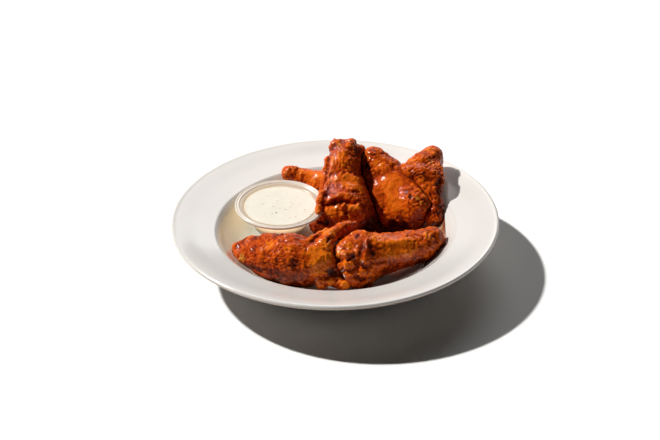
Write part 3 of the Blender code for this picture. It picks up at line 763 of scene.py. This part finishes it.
def cup_material():
    """Thin frosted plastic: light passes through the wall, and the rolled edge shines; the outer wall also has a warm
    painted glow for the light coming through it.
    """
    n = Nodes("cup_plastic")
    rim = n.attribute("edge")
    colour = n.ramp(n.noise(60.0, 2.0, 0.5), [(0.3, (0.66, 0.60, 0.52)), (0.7, (0.70, 0.64, 0.56))])
    n.to("Base Color", n.mix(rim, colour, (0.84, 0.785, 0.715)))
    n.to("Roughness", n.ramp(n.noise(220.0, 2.0, 0.5), [(0.3, 0.20), (0.7, 0.30)]))
    n.set("IOR", 1.5)
    n.set("Coat Weight", 0.5)
    n.set("Coat Roughness", 0.08)
    n.to("Normal", n.bump(n.noise(150.0, 2.0, 0.5), 0.0003, 0.12))
    # painted light: a warm glow on the outer wall below the flange, though the cup is no lamp
    n.shader.inputs["Emission Color"].default_value = (1.0, 0.76, 0.47, 1.0)
    n.to("Emission Strength", n.math("MULTIPLY", n.attribute("painted_glow"), 2.3))
    through = n.tree.nodes.new("ShaderNodeBsdfTranslucent")
    through.inputs["Color"].default_value = (0.95, 0.90, 0.82, 1.0)
    both = n.tree.nodes.new("ShaderNodeMixShader")
    n.link(n.math("SUBTRACT", 0.62, n.math("MULTIPLY", rim, 0.30)), both.inputs[0])
    n.link(n.shader.outputs[0], both.inputs[1])
    n.link(through.outputs[0], both.inputs[2])
    n.link(both.outputs[0], n.tree.nodes["Material Output"].inputs["Surface"])
    return n.mat


def dip_material():
    n = Nodes("creamy_dip")
    mottled = n.noise(120.0, 4.0, 0.6, 0.5)
    n.to("Base Color", n.ramp(mottled, [(0.3, (0.700, 0.657, 0.553)), (0.7, (0.745, 0.708, 0.613))]))
    n.to("Roughness", n.ramp(n.noise(90.0, 3.0, 0.5), [(0.3, 0.32), (0.7, 0.5)]))
    n.set("Subsurface Weight", 0.35)
    n.set("Subsurface Radius", (1.0, 0.85, 0.6))
    n.set("Subsurface Scale", 0.003)
    n.to("Normal", n.bump(n.noise(260.0, 4.0, 0.6), 0.0003, 0.35))
    return n.mat


def herb_material():
    n = Nodes("herb_fleck")
    n.to("Base Color", n.ramp(n.noise(900.0, 2.0, 0.5), [(0.3, (0.14, 0.17, 0.09)), (0.7, (0.34, 0.36, 0.24))]))
    n.set("Roughness", 0.55)
    n.to("Normal", n.bump(n.noise(2500.0, 2.0, 0.5), 0.0001, 0.4))
    return n.mat


def sauce_material():
    n = Nodes("sauce_and_painted_shade")
    # the sauce darkens from pale tan to near black as it thickens; the thickest, near-black parts lie under and between
    # the wings, where the darkness is painted shade
    sauce_and_shade = n.attribute("sauce_and_shade")
    tone = n.math("ADD", sauce_and_shade, n.math("MULTIPLY", n.math("SUBTRACT", n.noise(150.0, 3.0, 0.6, 0.5), 0.5), 0.5), clamp=True)
    n.to("Base Color", n.ramp(tone, [(0.0, (0.54, 0.42, 0.33)), (0.22, (0.34, 0.165, 0.085)), (0.38, (0.20, 0.050, 0.014)), (0.6, (0.10, 0.012, 0.003)), (1.0, (0.022, 0.003, 0.0015))]))
    n.to("Roughness", n.ramp(n.noise(300.0, 2.0, 0.5), [(0.3, 0.10), (0.7, 0.24)]))
    n.set("Coat Weight", 0.6)
    n.set("Coat Roughness", 0.06)
    n.to("Normal", n.bump(n.noise(350.0, 3.0, 0.5), 0.0003, 0.3))
    return n.mat


def floor_material():
    n = Nodes("pale_floor")
    n.to("Base Color", n.ramp(n.noise(2.0, 2.0, 0.5), [(0.3, (0.87, 0.87, 0.87)), (0.7, (0.89, 0.89, 0.89))]))
    n.set("Roughness", 0.85)
    n.set("Specular IOR Level", 0.2)
    return n.mat


# ======================================================================================
# Bowl
# ======================================================================================
def build_bowl():
    inner = bowl_inner_profile()
    lip = []
    r0, z0, q = BOWL_RADIUS - 1.9, BOWL_HEIGHT - 1.9, 1.9
    for a in np.linspace(100, -100, 18):
        lip.append((r0 + q * math.cos(math.radians(a)), z0 + q * math.sin(math.radians(a))))
    under = [(128.0, rim_height(128.0) - 3.9), (120.0, rim_height(120.0) - 4.3), (112.0, rim_height(112.0) - 4.45), (104.0, rim_height(104.0) - 4.5)]
    wall = [(101.2, 32.6), (97.0, 28.6), (90.4, 22.4), (82.4, 16.2), (74.6, 11.7), (66.5, 8.6)]
    foot = [(63.6, 7.7), (62.4, 6.4), (61.6, 3.4), (61.0, 0.6), (60.1, 0.0), (56.8, 0.0), (56.0, 0.6), (55.4, 3.0), (54.6, 5.4), (53.4, 6.1), (0.0, 6.4)]
    body = inner + lip + under
    # finer outer wall: a smooth curve through its points
    curve = [under[-1]] + wall
    fine = []
    for i in range(len(curve) - 1):
        p0 = np.array(curve[max(i - 1, 0)])
        p1, p2 = np.array(curve[i]), np.array(curve[i + 1])
        p3 = np.array(curve[min(i + 2, len(curve) - 1)])
        for t in np.linspace(0, 1, 7)[1:]:
            fine.append(tuple(0.5 * (2 * p1 + (p2 - p0) * t + (2 * p0 - 5 * p1 + 4 * p2 - p3) * t * t + (3 * p1 - p0 - 3 * p2 + p3) * t ** 3)))
    obj = turned("bowl_body", body + fine + foot, 224)
    co = np.empty(len(obj.data.vertices) * 3, np.float32)
    obj.data.vertices.foreach_get("co", co)
    P = co.reshape(-1, 3).astype(float) / MM
    r = np.hypot(P[:, 0], P[:, 1])
    # thrown stoneware is never quite even
    wave = 0.10 * gradient_noise(np.c_[P[:, 0], P[:, 1], P[:, 2] * 0.3], 46.0, 5) + 0.03 * gradient_noise(P, 13.0, 6)
    keep = smoothstep(1.0, 5.0, P[:, 2]) * smoothstep(134.9, 131.5, r)
    P[:, 2] += wave * keep
    obj.data.vertices.foreach_set("co", (P * MM).astype(np.float32).ravel())
    up = np.interp(r, [q[0] for q in inner], [q[1] for q in inner])
    outside = (P[:, 2] < up - 1.5) | (r > 134.0) & (P[:, 2] < 42.6)
    # painted light in the well, strongest on the left side; the low and back masks below choose its colour
    well_painted_light = smoothstep(100.0, 92.0, r) * ~outside * (0.15 + 0.85 * smoothstep(20.0, -40.0, P[:, 0]))
    point_attribute(obj, "well_painted_light", well_painted_light)
    point_attribute(obj, "low", smoothstep(92.0, 76.0, r))
    point_attribute(obj, "back", smoothstep(25.0, 65.0, P[:, 1]))
    front = smoothstep(-20.0, -90.0, P[:, 1])
    right = smoothstep(20.0, 100.0, P[:, 0])
    # painted shade on the front of the rim, less near the lip and on the left
    point_attribute(obj, "front_painted_shade", front * (1.0 - 0.85 * smoothstep(114.0, 130.0, r)) * (0.7 + 0.3 * right))
    # painted light on the rim: towards the right, the back and the front lip
    point_attribute(obj, "outer", np.clip(0.30 * right * (1 - front) + (0.10 + 0.45 * front) * smoothstep(114.0, 130.0, r) + 0.38 * smoothstep(25.0, 90.0, P[:, 1]), 0, 1))
    # painted shade on the underside, less dark near the lip
    point_attribute(obj, "under", outside.astype(float))
    point_attribute(obj, "lip", smoothstep(120.0, 128.0, r))
    point_attribute(obj, "far_edge", smoothstep(130.0, 132.5, r) * smoothstep(-60.0, 10.0, P[:, 1]))
    point_attribute(obj, "unglazed", ((r > 54) & (r < 62) & (P[:, 2] < 0.4)).astype(float))
    obj.data.materials.append(stoneware_material())
    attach(obj, "root")
    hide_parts("bowl")
    return obj


# ======================================================================================
# Portion cup, dip and its herbs
# ======================================================================================
def build_cup():
    top = CUP_HEIGHT
    profile = [(0.0, 1.2), (8.0, 1.2), (14.0, 1.2), (CUP_FOOT - 3.0, 1.25), (CUP_FOOT - 1.5, 1.7), (cup_inner(2.8), 2.8)]
    profile += [(cup_inner(z), z) for z in np.linspace(4.0, top - 3.2, 24)]
    # flange: a sloping step, an inner bead, a groove, then the rolled outer edge
    profile += [(30.15, top - 2.3), (30.7, top - 1.75), (31.5, top - 1.3), (32.4, top - 1.1), (33.3, top - 0.95), (33.8, top - 0.62), (34.15, top - 0.28), (34.5, top - 0.08), (34.85, top - 0.10), (35.15, top - 0.35), (35.5, top - 0.52), (35.95, top - 0.50), (36.3, top - 0.28), (36.6, top - 0.06), (36.95, top), (37.3, top - 0.10), (37.58, top - 0.38), (37.7, top - 0.85), (37.68, top - 1.5), (37.5, top - 1.95), (37.15, top - 2.05), (36.85, top - 1.75)]
    profile += [(36.4, top - 1.25), (35.4, top - 1.25), (34.3, top - 1.55), (33.4, top - 1.95), (32.6, top - 2.3), (31.9, top - 2.75), (cup_inner(top - 3.6) + CUP_WALL, top - 3.6)]
    profile += [(cup_inner(z) + CUP_WALL, z) for z in np.linspace(top - 4.4, 3.4, 22)]
    profile += [(CUP_FOOT + 0.6, 2.0), (CUP_FOOT - 0.1, 0.9), (CUP_FOOT - 0.9, 0.25), (CUP_FOOT - 1.9, 0.0), (12.0, 0.0), (0.0, 0.0)]
    obj = turned("portion_cup", profile, 160, from_cup)
    r, z = (np.array([profile[0][k]] + [q[k] for q in profile[1:-1] for _ in range(160)] + [profile[-1][k]]) for k in (0, 1))
    point_attribute(obj, "edge", smoothstep(32.6, 33.6, r))
    # where the painted glow goes: the outer wall below the flange
    wall = np.array([0.0] + [1.0 if 6 < n_ and q[0] > 19 and (q[0] < 32.0) else 0.0 for n_, q in enumerate(profile[1:-1]) for _ in range(160)] + [0.0])
    outer = r > np.array([cup_inner(h) for h in z]) + 0.5
    point_attribute(obj, "painted_glow", wall * outer * smoothstep(6.0, 19.0, z) * (z < CUP_HEIGHT - 3.3))
    obj.data.materials.append(cup_material())
    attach(obj, "root")
    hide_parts("dip_cup")
    return obj


def dip_surface(x, y):
    """Height of the dip above its level at an offset from the cup's middle: soft swirls that fade out towards the wall.
    """
    P = np.c_[x, y, np.zeros_like(x)]
    h = 0.35 * gradient_noise(P, 19.0, 31) + 0.16 * gradient_noise(P, 8.0, 32) + 0.05 * gradient_noise(P, 3.2, 33)
    r = np.hypot(x, y)
    return h * smoothstep(31.5, 26.0, r)


def build_dip():
    level = CUP_HEIGHT - DIP_DEPTH
    rim = cup_inner(level) - 0.16
    steps = 128
    angle = np.linspace(0, 2 * math.pi, steps, endpoint=False)
    radii = list(np.linspace(1.0, rim - 1.4, 44)) + [rim - 0.9, rim - 0.5, rim - 0.2, rim]
    verts = [(0.0, 0.0, level + float(dip_surface(np.zeros(1), np.zeros(1))[0]))]
    for r in radii:
        x, y = r * np.cos(angle), r * np.sin(angle)
        edge = 0.35 * max(0.0, (r - (rim - 1.4)) / 1.4) ** 2      # clings a little to the wall
        z = level + dip_surface(x, y) + edge
        verts += list(zip(x, y, z))
    for z in list(np.linspace(level - 1.2, 2.2, 16)):
        r = cup_inner(z) - 0.16
        verts += [(r * math.cos(a), r * math.sin(a), z) for a in angle]
    z = 1.5
    r = CUP_FOOT - 3.0
    verts += [(r * math.cos(a), r * math.sin(a), z) for a in angle]
    verts.append((0.0, 0.0, 1.5))
    rings = len(radii) + 16 + 1
    last = len(verts) - 1
    faces = []
    for k in range(steps):
        j = (k + 1) % steps
        faces.append((0, 1 + k, 1 + j))
        for i in range(rings - 1):
            a, b = 1 + i * steps, 1 + (i + 1) * steps
            faces.append((a + k, b + k, b + j, a + j))
        c = 1 + (rings - 1) * steps
        faces.append((c + k, last, c + j))
    obj = mesh_object("ranch_dip", from_cup(verts), faces)
    obj.data.materials.append(dip_material())
    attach(obj, "root")
    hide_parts("dip")
    return obj


def build_herbs():
    """Chopped herb flecks lying in the top of the dip, one joined mesh."""
    rng = np.random.default_rng(11)
    level = CUP_HEIGHT - DIP_DEPTH
    places = [(-3.0, -10.5, 1.5), (26.0, -13.5, 1.3), (4.5, -5.5, 0.7), (16.0, 1.5, 0.6), (20.5, -6.5, 0.7), (-5.5, -0.5, 0.6), (-2.5, 8.0, 0.7), (9.0, -1.0, 0.5), (0.0, -3.5, 0.5), (13.0, -16.5, 0.6), (22.0, 5.5, 0.6), (-14.0, 3.0, 0.5)]
    for _ in range(15):
        a, r = rng.uniform(0, 2 * math.pi), 27.5 * math.sqrt(rng.uniform(0.02, 1))
        places.append((r * math.cos(a), r * math.sin(a), rng.uniform(0.25, 0.55)))
    stand = Matrix.Translation(Vector((CUP_PLACE[0], CUP_PLACE[1], CUP_BASE))) @ Matrix.Rotation(CUP_TILT, 4, "X")
    bm = bmesh.new()
    for x, y, size in places:
        z = level + float(dip_surface(np.array([x]), np.array([y]))[0])
        turn = Matrix.Rotation(rng.uniform(0, math.pi), 4, "Z") @ Matrix.Rotation(rng.uniform(-0.35, 0.35), 4, "X")
        scale = Matrix.Diagonal((size * rng.uniform(0.8, 1.3), size * rng.uniform(0.35, 0.6), 0.10 + 0.10 * size, 1.0))
        place = stand @ Matrix.Translation(Vector((x, y, z + 0.02))) @ turn @ scale
        made = bmesh.ops.create_icosphere(bm, subdivisions=2, radius=1.0)
        for v in made["verts"]:
            v.co *= 1 + 0.18 * math.sin(5.1 * v.co.x + 3.7 * v.co.y + size * 40)
            v.co = (place @ v.co) * MM
    mesh = bpy.data.meshes.new("herb_flecks")
    bm.to_mesh(mesh)
    bm.free()
    mesh.shade_smooth()
    obj = bpy.data.objects.new("herb_flecks", mesh)
    bpy.context.scene.collection.objects.link(obj)
    obj.data.materials.append(herb_material())
    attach(obj, "root")
    return obj


# ======================================================================================
# Wings
# ======================================================================================
def spots(P, places, noise):
    """0 to 1: how far each point lies within any of the (x, y, z, radius) spots, with a ragged edge."""
    out = np.zeros(len(P))
    for x, y, z, r in places:
        d = np.sqrt(((P - (x, y, z)) ** 2).sum(1)) / r
        out = np.maximum(out, 1 - smoothstep(0.55, 1.15, d + 0.22 * noise))
    return out


def billow(noise):
    """Rounded bumps with sharp creases between them, about -0.5 to 0.7."""
    return np.abs(noise) * 2.0 - 0.5


def build_wings():
    order = list(WINGS)
    fields, blocks = {}, {}
    for name in order:
        f = np.full(tuple(COUNT), FAR, np.float32)
        for kind, blend, chain in WINGS[name]["ops"]:
            if kind == "fold":
                chain = [(x, y, z, 0.85 * r) for x, y, z, r in chain]
            stamp(f, chain, blend, kind != "add")
        balls = np.array([c for kind, _, chain in WINGS[name]["ops"] if kind == "add" for c in chain], float)
        lo = np.clip(np.floor(((balls[:, :3] - balls[:, 3:]).min(0) - 2.5 - LOW) / STEP).astype(int), 0, COUNT)
        hi = np.clip(np.ceil(((balls[:, :3] + balls[:, 3:]).max(0) + 2.5 - LOW) / STEP).astype(int), 0, COUNT)
        fields[name], blocks[name] = f, (lo, hi)
    material = wing_material()
    profile = bowl_inner_profile()
    built = []
    for place, name in enumerate(order):
        spec = WINGS[name]
        lo, hi = blocks[name]
        cut = (slice(lo[0], hi[0]), slice(lo[1], hi[1]), slice(lo[2], hi[2]))
        rest, cup = resting_field(lo, hi, profile), cup_field(lo, hi)
        f = fields[name][cut].copy()
        f = smooth_max(f, 0.35 - rest, 0.8)
        f = smooth_max(f, 0.35 - cup, 0.8)
        for earlier in order[:place]:
            f = smooth_max(f, 0.3 - fields[earlier][cut], 0.9)
        fields[name][cut] = f
        f[0], f[-1], f[:, 0], f[:, -1], f[:, :, 0], f[:, :, -1] = FAR, FAR, FAR, FAR, FAR, FAR
        V, Q = surface_nets(f, LOW + STEP * lo, STEP)
        smooth = neighbour_smoother(Q, len(V))
        V = smooth(V, 2, 0.5)
        # nearest other thing, which the raised detail stays out of
        others = np.minimum(sample(rest, V, lo), sample(cup, V, lo))
        for other in order:
            if other != name:
                others = np.minimum(others, sample(fields[other], V))
        free = smoothstep(0.3, 2.6, others)
        seed = 100 + 17 * place
        # nothing on food runs straight: shift every feature a little sideways
        drift = np.stack([gradient_noise(V, 8.5, seed + 40 + k) + 0.4 * gradient_noise(V, 3.8, seed + 50 + k) for k in range(3)], 1)
        V = V + 0.9 * drift * smoothstep(1.2, 4.5, others)[:, None]
        N = vertex_normals(V, Q)
        edge = gradient_noise(V, 3.0, seed + 9)
        crust = spots(V, spec["crust"], edge)
        calm = spots(V, spec["smooth"], edge) * (1 - crust)
        lift = 0.32 * gradient_noise(V, 10.5, seed)
        lift += 0.36 * billow(gradient_noise(V, 5.4, seed + 1)) * (1 - 0.75 * calm)
        lift += 0.40 * billow(gradient_noise(V, 3.1, seed + 3)) * (1 - 0.75 * calm)
        lift += 0.27 * gradient_noise(V, 2.1, seed + 2) * (1 - 0.6 * calm)
        lift += 0.12 * gradient_noise(V, 1.3, seed + 4)
        blister = 1 - cell_distance(V, 2.8, seed + 5) * 1.75
        crumbs = 1 - cell_distance(V, 1.8, seed + 6) * 1.75
        lift += crust * (0.60 * np.maximum(blister, -0.4) + 0.38 * crumbs)
        wander = 3.4 * gradient_noise(V, 9.5, seed + 7) + 1.5 * gradient_noise(V, 4.3, seed + 8)
        swell = np.clip(0.62 + 1.1 * gradient_noise(V, 6.2, seed + 10), 0.0, 1.3)
        for kind, where, period, height, region in spec["ripples"]:
            where = np.array(where, float)
            if kind == "along":
                u = V @ (where / np.linalg.norm(where))
            else:
                u = np.linalg.norm(V - where, axis=1)
            wave = np.sin(2 * math.pi * u / period + wander)
            lift += height * swell * spots(V, region, edge) * (1 - 1.6 * np.abs(wave)) * 0.9
        lift = np.where(lift > 0, lift * free, lift * (0.35 + 0.65 * free))
        V = V + N * lift[:, None]
        V = smooth(V, 1, 0.25)
        N = vertex_normals(V, Q)
        near = smooth(V, 3)
        mid = smooth(near, 9)
        wide = smooth(mid, 22)
        fine = ((V - near) * N).sum(1)
        middle = ((near - mid) * N).sum(1)
        broad = ((mid - wide) * N).sum(1)
        fine, middle, broad = [np.clip(v / (2.2 * v.std() + 1e-9), -1, 1) for v in (fine, middle, broad)]
        # nearness to the bowl, the cup or another piece: the glaze is painted darker there as painted contact shade
        touch = 1 - smoothstep(0.2, 3.4, others)
        brown_and_shade = np.maximum(spots(V, spec["brown_and_shade"], edge), 0.6 * touch)
        obj = mesh_object(name + "_meat", V, Q)
        point_attribute(obj, "fine", fine)
        point_attribute(obj, "middle", middle)
        point_attribute(obj, "wide", broad)
        # painted light on sunlit patches, scaled per piece and held back where the piece touches something
        point_attribute(obj, "painted_light", spots(V, spec["painted_light"], edge) * spec["painted_light_gain"] * (1 - 0.6 * touch))
        point_attribute(obj, "brown_and_shade", brown_and_shade)
        point_attribute(obj, "calm", calm)
        point_attribute(obj, "dull", spots(V, spec["dull"], edge))
        point_attribute(obj, "yellow", spots(V, spec["yellow"], edge))
        point_attribute(obj, "painted_recess_shade", spots(V, spec["painted_recess_shade"], edge))
        obj.data.materials.append(material)
        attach(obj, "root")
        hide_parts(name)
        built.append(obj)
        print(name, len(V), "points", len(Q) * 2, "triangles")
    return fields, built


# ======================================================================================
# Sauce that has run onto the bowl's floor, drawn near black under and between the wings as painted shade
# ======================================================================================
def build_sauce(fields):
    step = 0.7
    gx = np.arange(-92, 92.01, step)
    gy = np.arange(-92, 92.01, step)
    X, Y = np.meshgrid(gx, gy, indexing="ij")
    R = np.hypot(X, Y)
    inner_line = bowl_inner_profile()
    floor = np.interp(R, [q[0] for q in inner_line], [q[1] for q in inner_line])
    P = np.c_[X.ravel(), Y.ravel(), (floor + 1.6).ravel()]
    near = np.full(len(P), FAR)
    for f in fields.values():
        near = np.minimum(near, sample(f, P))
    near = near.reshape(X.shape)
    flat = np.c_[X.ravel(), Y.ravel(), np.zeros(X.size)]
    wander = (gradient_noise(flat, 9.0, 71) + 0.5 * gradient_noise(flat, 3.6, 72)).reshape(X.shape)
    # thicker and darker close to the wings: real sauce, and painted shade where they meet the floor
    sauce_and_shade = 0.38 - near * 0.42 + 0.55 * wander
    # pools: in the middle of the heap, near black as painted shade under the wings; the smear in front on the right,
    # sauce with some painted shade under the front pieces; and a patch on the right wall, partly painted shade beside
    # the right pieces
    for x, y, rx, ry, turn, amount in ((46, 4, 30, 13, 0.1, 1.3), (46, 22, 26, 16, 0.1, 1.3), (6, -2, 22, 14, 0.1, 1.2), (34, 22, 14, 14, 0.0, 0.9), (10, -20, 22, 12, 0.2, 0.8), (38, -61, 18, 4, 0.5, 0.40), (72, -38, 9, 3, 0.8, 0.36), (2, -72, 20, 5, 0.0, 0.5), (30, -66, 12, 4, 0.3, 0.40), (92, 14, 6.0, 26, 0.05, 0.62), (88, -14, 6.5, 10, 0.4, 0.50)):
        c, s = math.cos(turn), math.sin(turn)
        u, v = (X - x) * c + (Y - y) * s, -(X - x) * s + (Y - y) * c
        d = np.sqrt((u / rx) ** 2 + (v / ry) ** 2)
        sauce_and_shade = np.maximum(sauce_and_shade, amount * (1.15 - d) + 0.30 * wander)
    clear = np.hypot(X - CUP_PLACE[0], Y - CUP_PLACE[1]) < 33
    edge = 89.5 + 7.2 * smoothstep(70.0, 84.0, X)
    sauce_and_shade = np.where(clear | (R > edge), -1.0, sauce_and_shade)
    depth = np.clip(sauce_and_shade, 0, 1.0)
    wet = depth > 0.02
    cell = wet[:-1, :-1] & wet[1:, :-1] & wet[1:, 1:] & wet[:-1, 1:]
    used = np.zeros(X.shape, bool)
    used[:-1, :-1] |= cell
    used[1:, :-1] |= cell
    used[1:, 1:] |= cell
    used[:-1, 1:] |= cell
    full = np.ones(X.shape, bool)
    inner = np.zeros(X.shape, bool)
    inner[1:-1, 1:-1] = cell[:-1, :-1] & cell[1:, :-1] & cell[1:, 1:] & cell[:-1, 1:]
    top = -np.ones(X.shape, int)
    count = int(used.sum())
    top[used] = np.arange(count)
    under = top.copy()
    under[inner] = count + np.arange(int(inner.sum()))
    film = np.where(inner, 0.10 + 0.55 * np.sqrt(depth), 0.04)
    verts_top = np.c_[X[used], Y[used], (floor + film + 0.03)[used]]
    verts_under = np.c_[X[inner], Y[inner], (floor + 0.02)[inner]]
    I, J = np.nonzero(cell)
    up = np.stack([top[I, J], top[I + 1, J], top[I + 1, J + 1], top[I, J + 1]], 1)
    down = np.stack([under[I, J], under[I, J + 1], under[I + 1, J + 1], under[I + 1, J]], 1)
    # a cell with no inner corner would fold flat onto itself
    solid = (up != down[:, [0, 3, 2, 1]]).any(1)
    faces = np.concatenate([up[solid], down[solid]])
    V = np.concatenate([verts_top, verts_under])
    keep = np.unique(faces)
    renumber = -np.ones(len(V), int)
    renumber[keep] = np.arange(len(keep))
    thickness = np.r_[depth[used], depth[inner]][keep]
    obj = mesh_object("sauce_and_shade_film", V[keep], renumber[faces])
    point_attribute(obj, "sauce_and_shade", thickness)
    obj.data.materials.append(sauce_material())
    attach(obj, "root")
    print("sauce", len(keep), "points", len(faces) * 2, "triangles")
    return obj


# ======================================================================================
# Floor, light and camera
# ======================================================================================
def build_stage():
    obj = mesh_object("studio_floor", [(-3000, -3000, -0.05), (3000, -3000, -0.05), (3000, 3000, -0.05), (-3000, 3000, -0.05)], [(0, 1, 2, 3)], smooth=False)
    obj.data.materials.append(floor_material())
    scene = bpy.context.scene
    toward = Vector((-0.640, 0.243, 0.729)).normalized()
    sun = bpy.data.lights.new("key", "SUN")
    sun.energy = 4.9
    sun.angle = math.radians(3.0)
    sun.color = (1.0, 0.985, 0.96)
    key = bpy.data.objects.new("key", sun)
    key.rotation_euler = toward.to_track_quat("Z", "Y").to_euler()
    scene.collection.objects.link(key)
    # softbox high behind, inside a wider and dimmer one so that its reflection has a soft edge
    for name, size, energy, place in (("softbox", 1.55, 13.5, (0.44, 2.02, 1.72)), ("softbox_wide", 2.7, 4.5, (0.42, 2.02, 1.76))):
        area = bpy.data.lights.new(name, "AREA")
        area.shape = "SQUARE"
        area.size = size
        area.energy = energy
        area.color = (1.0, 0.985, 0.965)
        box = bpy.data.objects.new(name, area)
        box.location = place
        box.rotation_euler = (Vector(place) - Vector((0, 0, 0.03))).to_track_quat("Z", "Y").to_euler()
        scene.collection.objects.link(box)
    for name, wide, place in (("backdrop", 5.0, (0.0, 3.0, 0.60)),):
        area = bpy.data.lights.new(name, "AREA")
        area.shape = "RECTANGLE"
        area.size, area.size_y = wide, 1.1
        area.energy = 0.28 * math.pi * wide * 1.1
        box = bpy.data.objects.new(name, area)
        box.location = place
        box.rotation_euler = (Vector(place) - Vector((0, 0, 0.60))).to_track_quat("Z", "Y").to_euler()
        scene.collection.objects.link(box)
    world = bpy.data.worlds.new("studio")
    world.use_nodes = True
    world.node_tree.nodes["Background"].inputs["Color"].default_value = (1.0, 0.99, 0.98, 1)
    world.node_tree.nodes["Background"].inputs["Strength"].default_value = 0.018
    scene.world = world
    scene.view_settings.view_transform = "Standard"
    scene.view_settings.look = "None"
    scene.view_settings.exposure = 0.0
    scene.view_settings.gamma = 1.0


def build_camera():
    """A long lens from the front, 31 degrees up; the frame sits as the serving does in its picture."""
    lift, roll = math.radians(30.84), math.radians(-0.70)
    shift_x, shift_y, distance, focal = 4.12, -37.89, 2493.2, 3000.0
    place = Vector((-shift_x, -shift_y * math.sin(lift) - distance * math.cos(lift), -shift_y * math.cos(lift) + distance * math.sin(lift))) * MM
    right = Vector((1, 0, 0))
    up = Vector((0, math.sin(lift), math.cos(lift)))
    back = -Vector((0, math.cos(lift), -math.sin(lift)))
    turn = Matrix((right, up, back)).transposed() @ Matrix.Rotation(roll, 3, "Z")
    data = bpy.data.cameras.new("camera")
    data.sensor_width = 36.0
    data.lens = focal / 660.0 * 36.0
    data.clip_start, data.clip_end = 0.05, 30.0
    camera = bpy.data.objects.new("camera", data)
    camera.matrix_world = Matrix.Translation(place) @ turn.to_4x4()
    bpy.context.scene.collection.objects.link(camera)
    bpy.context.scene.camera = camera


build_camera()
build_stage()
build_bowl()
build_cup()
build_dip()
build_herbs()
wing_fields, wing_objects = build_wings()
build_sauce(wing_fields)
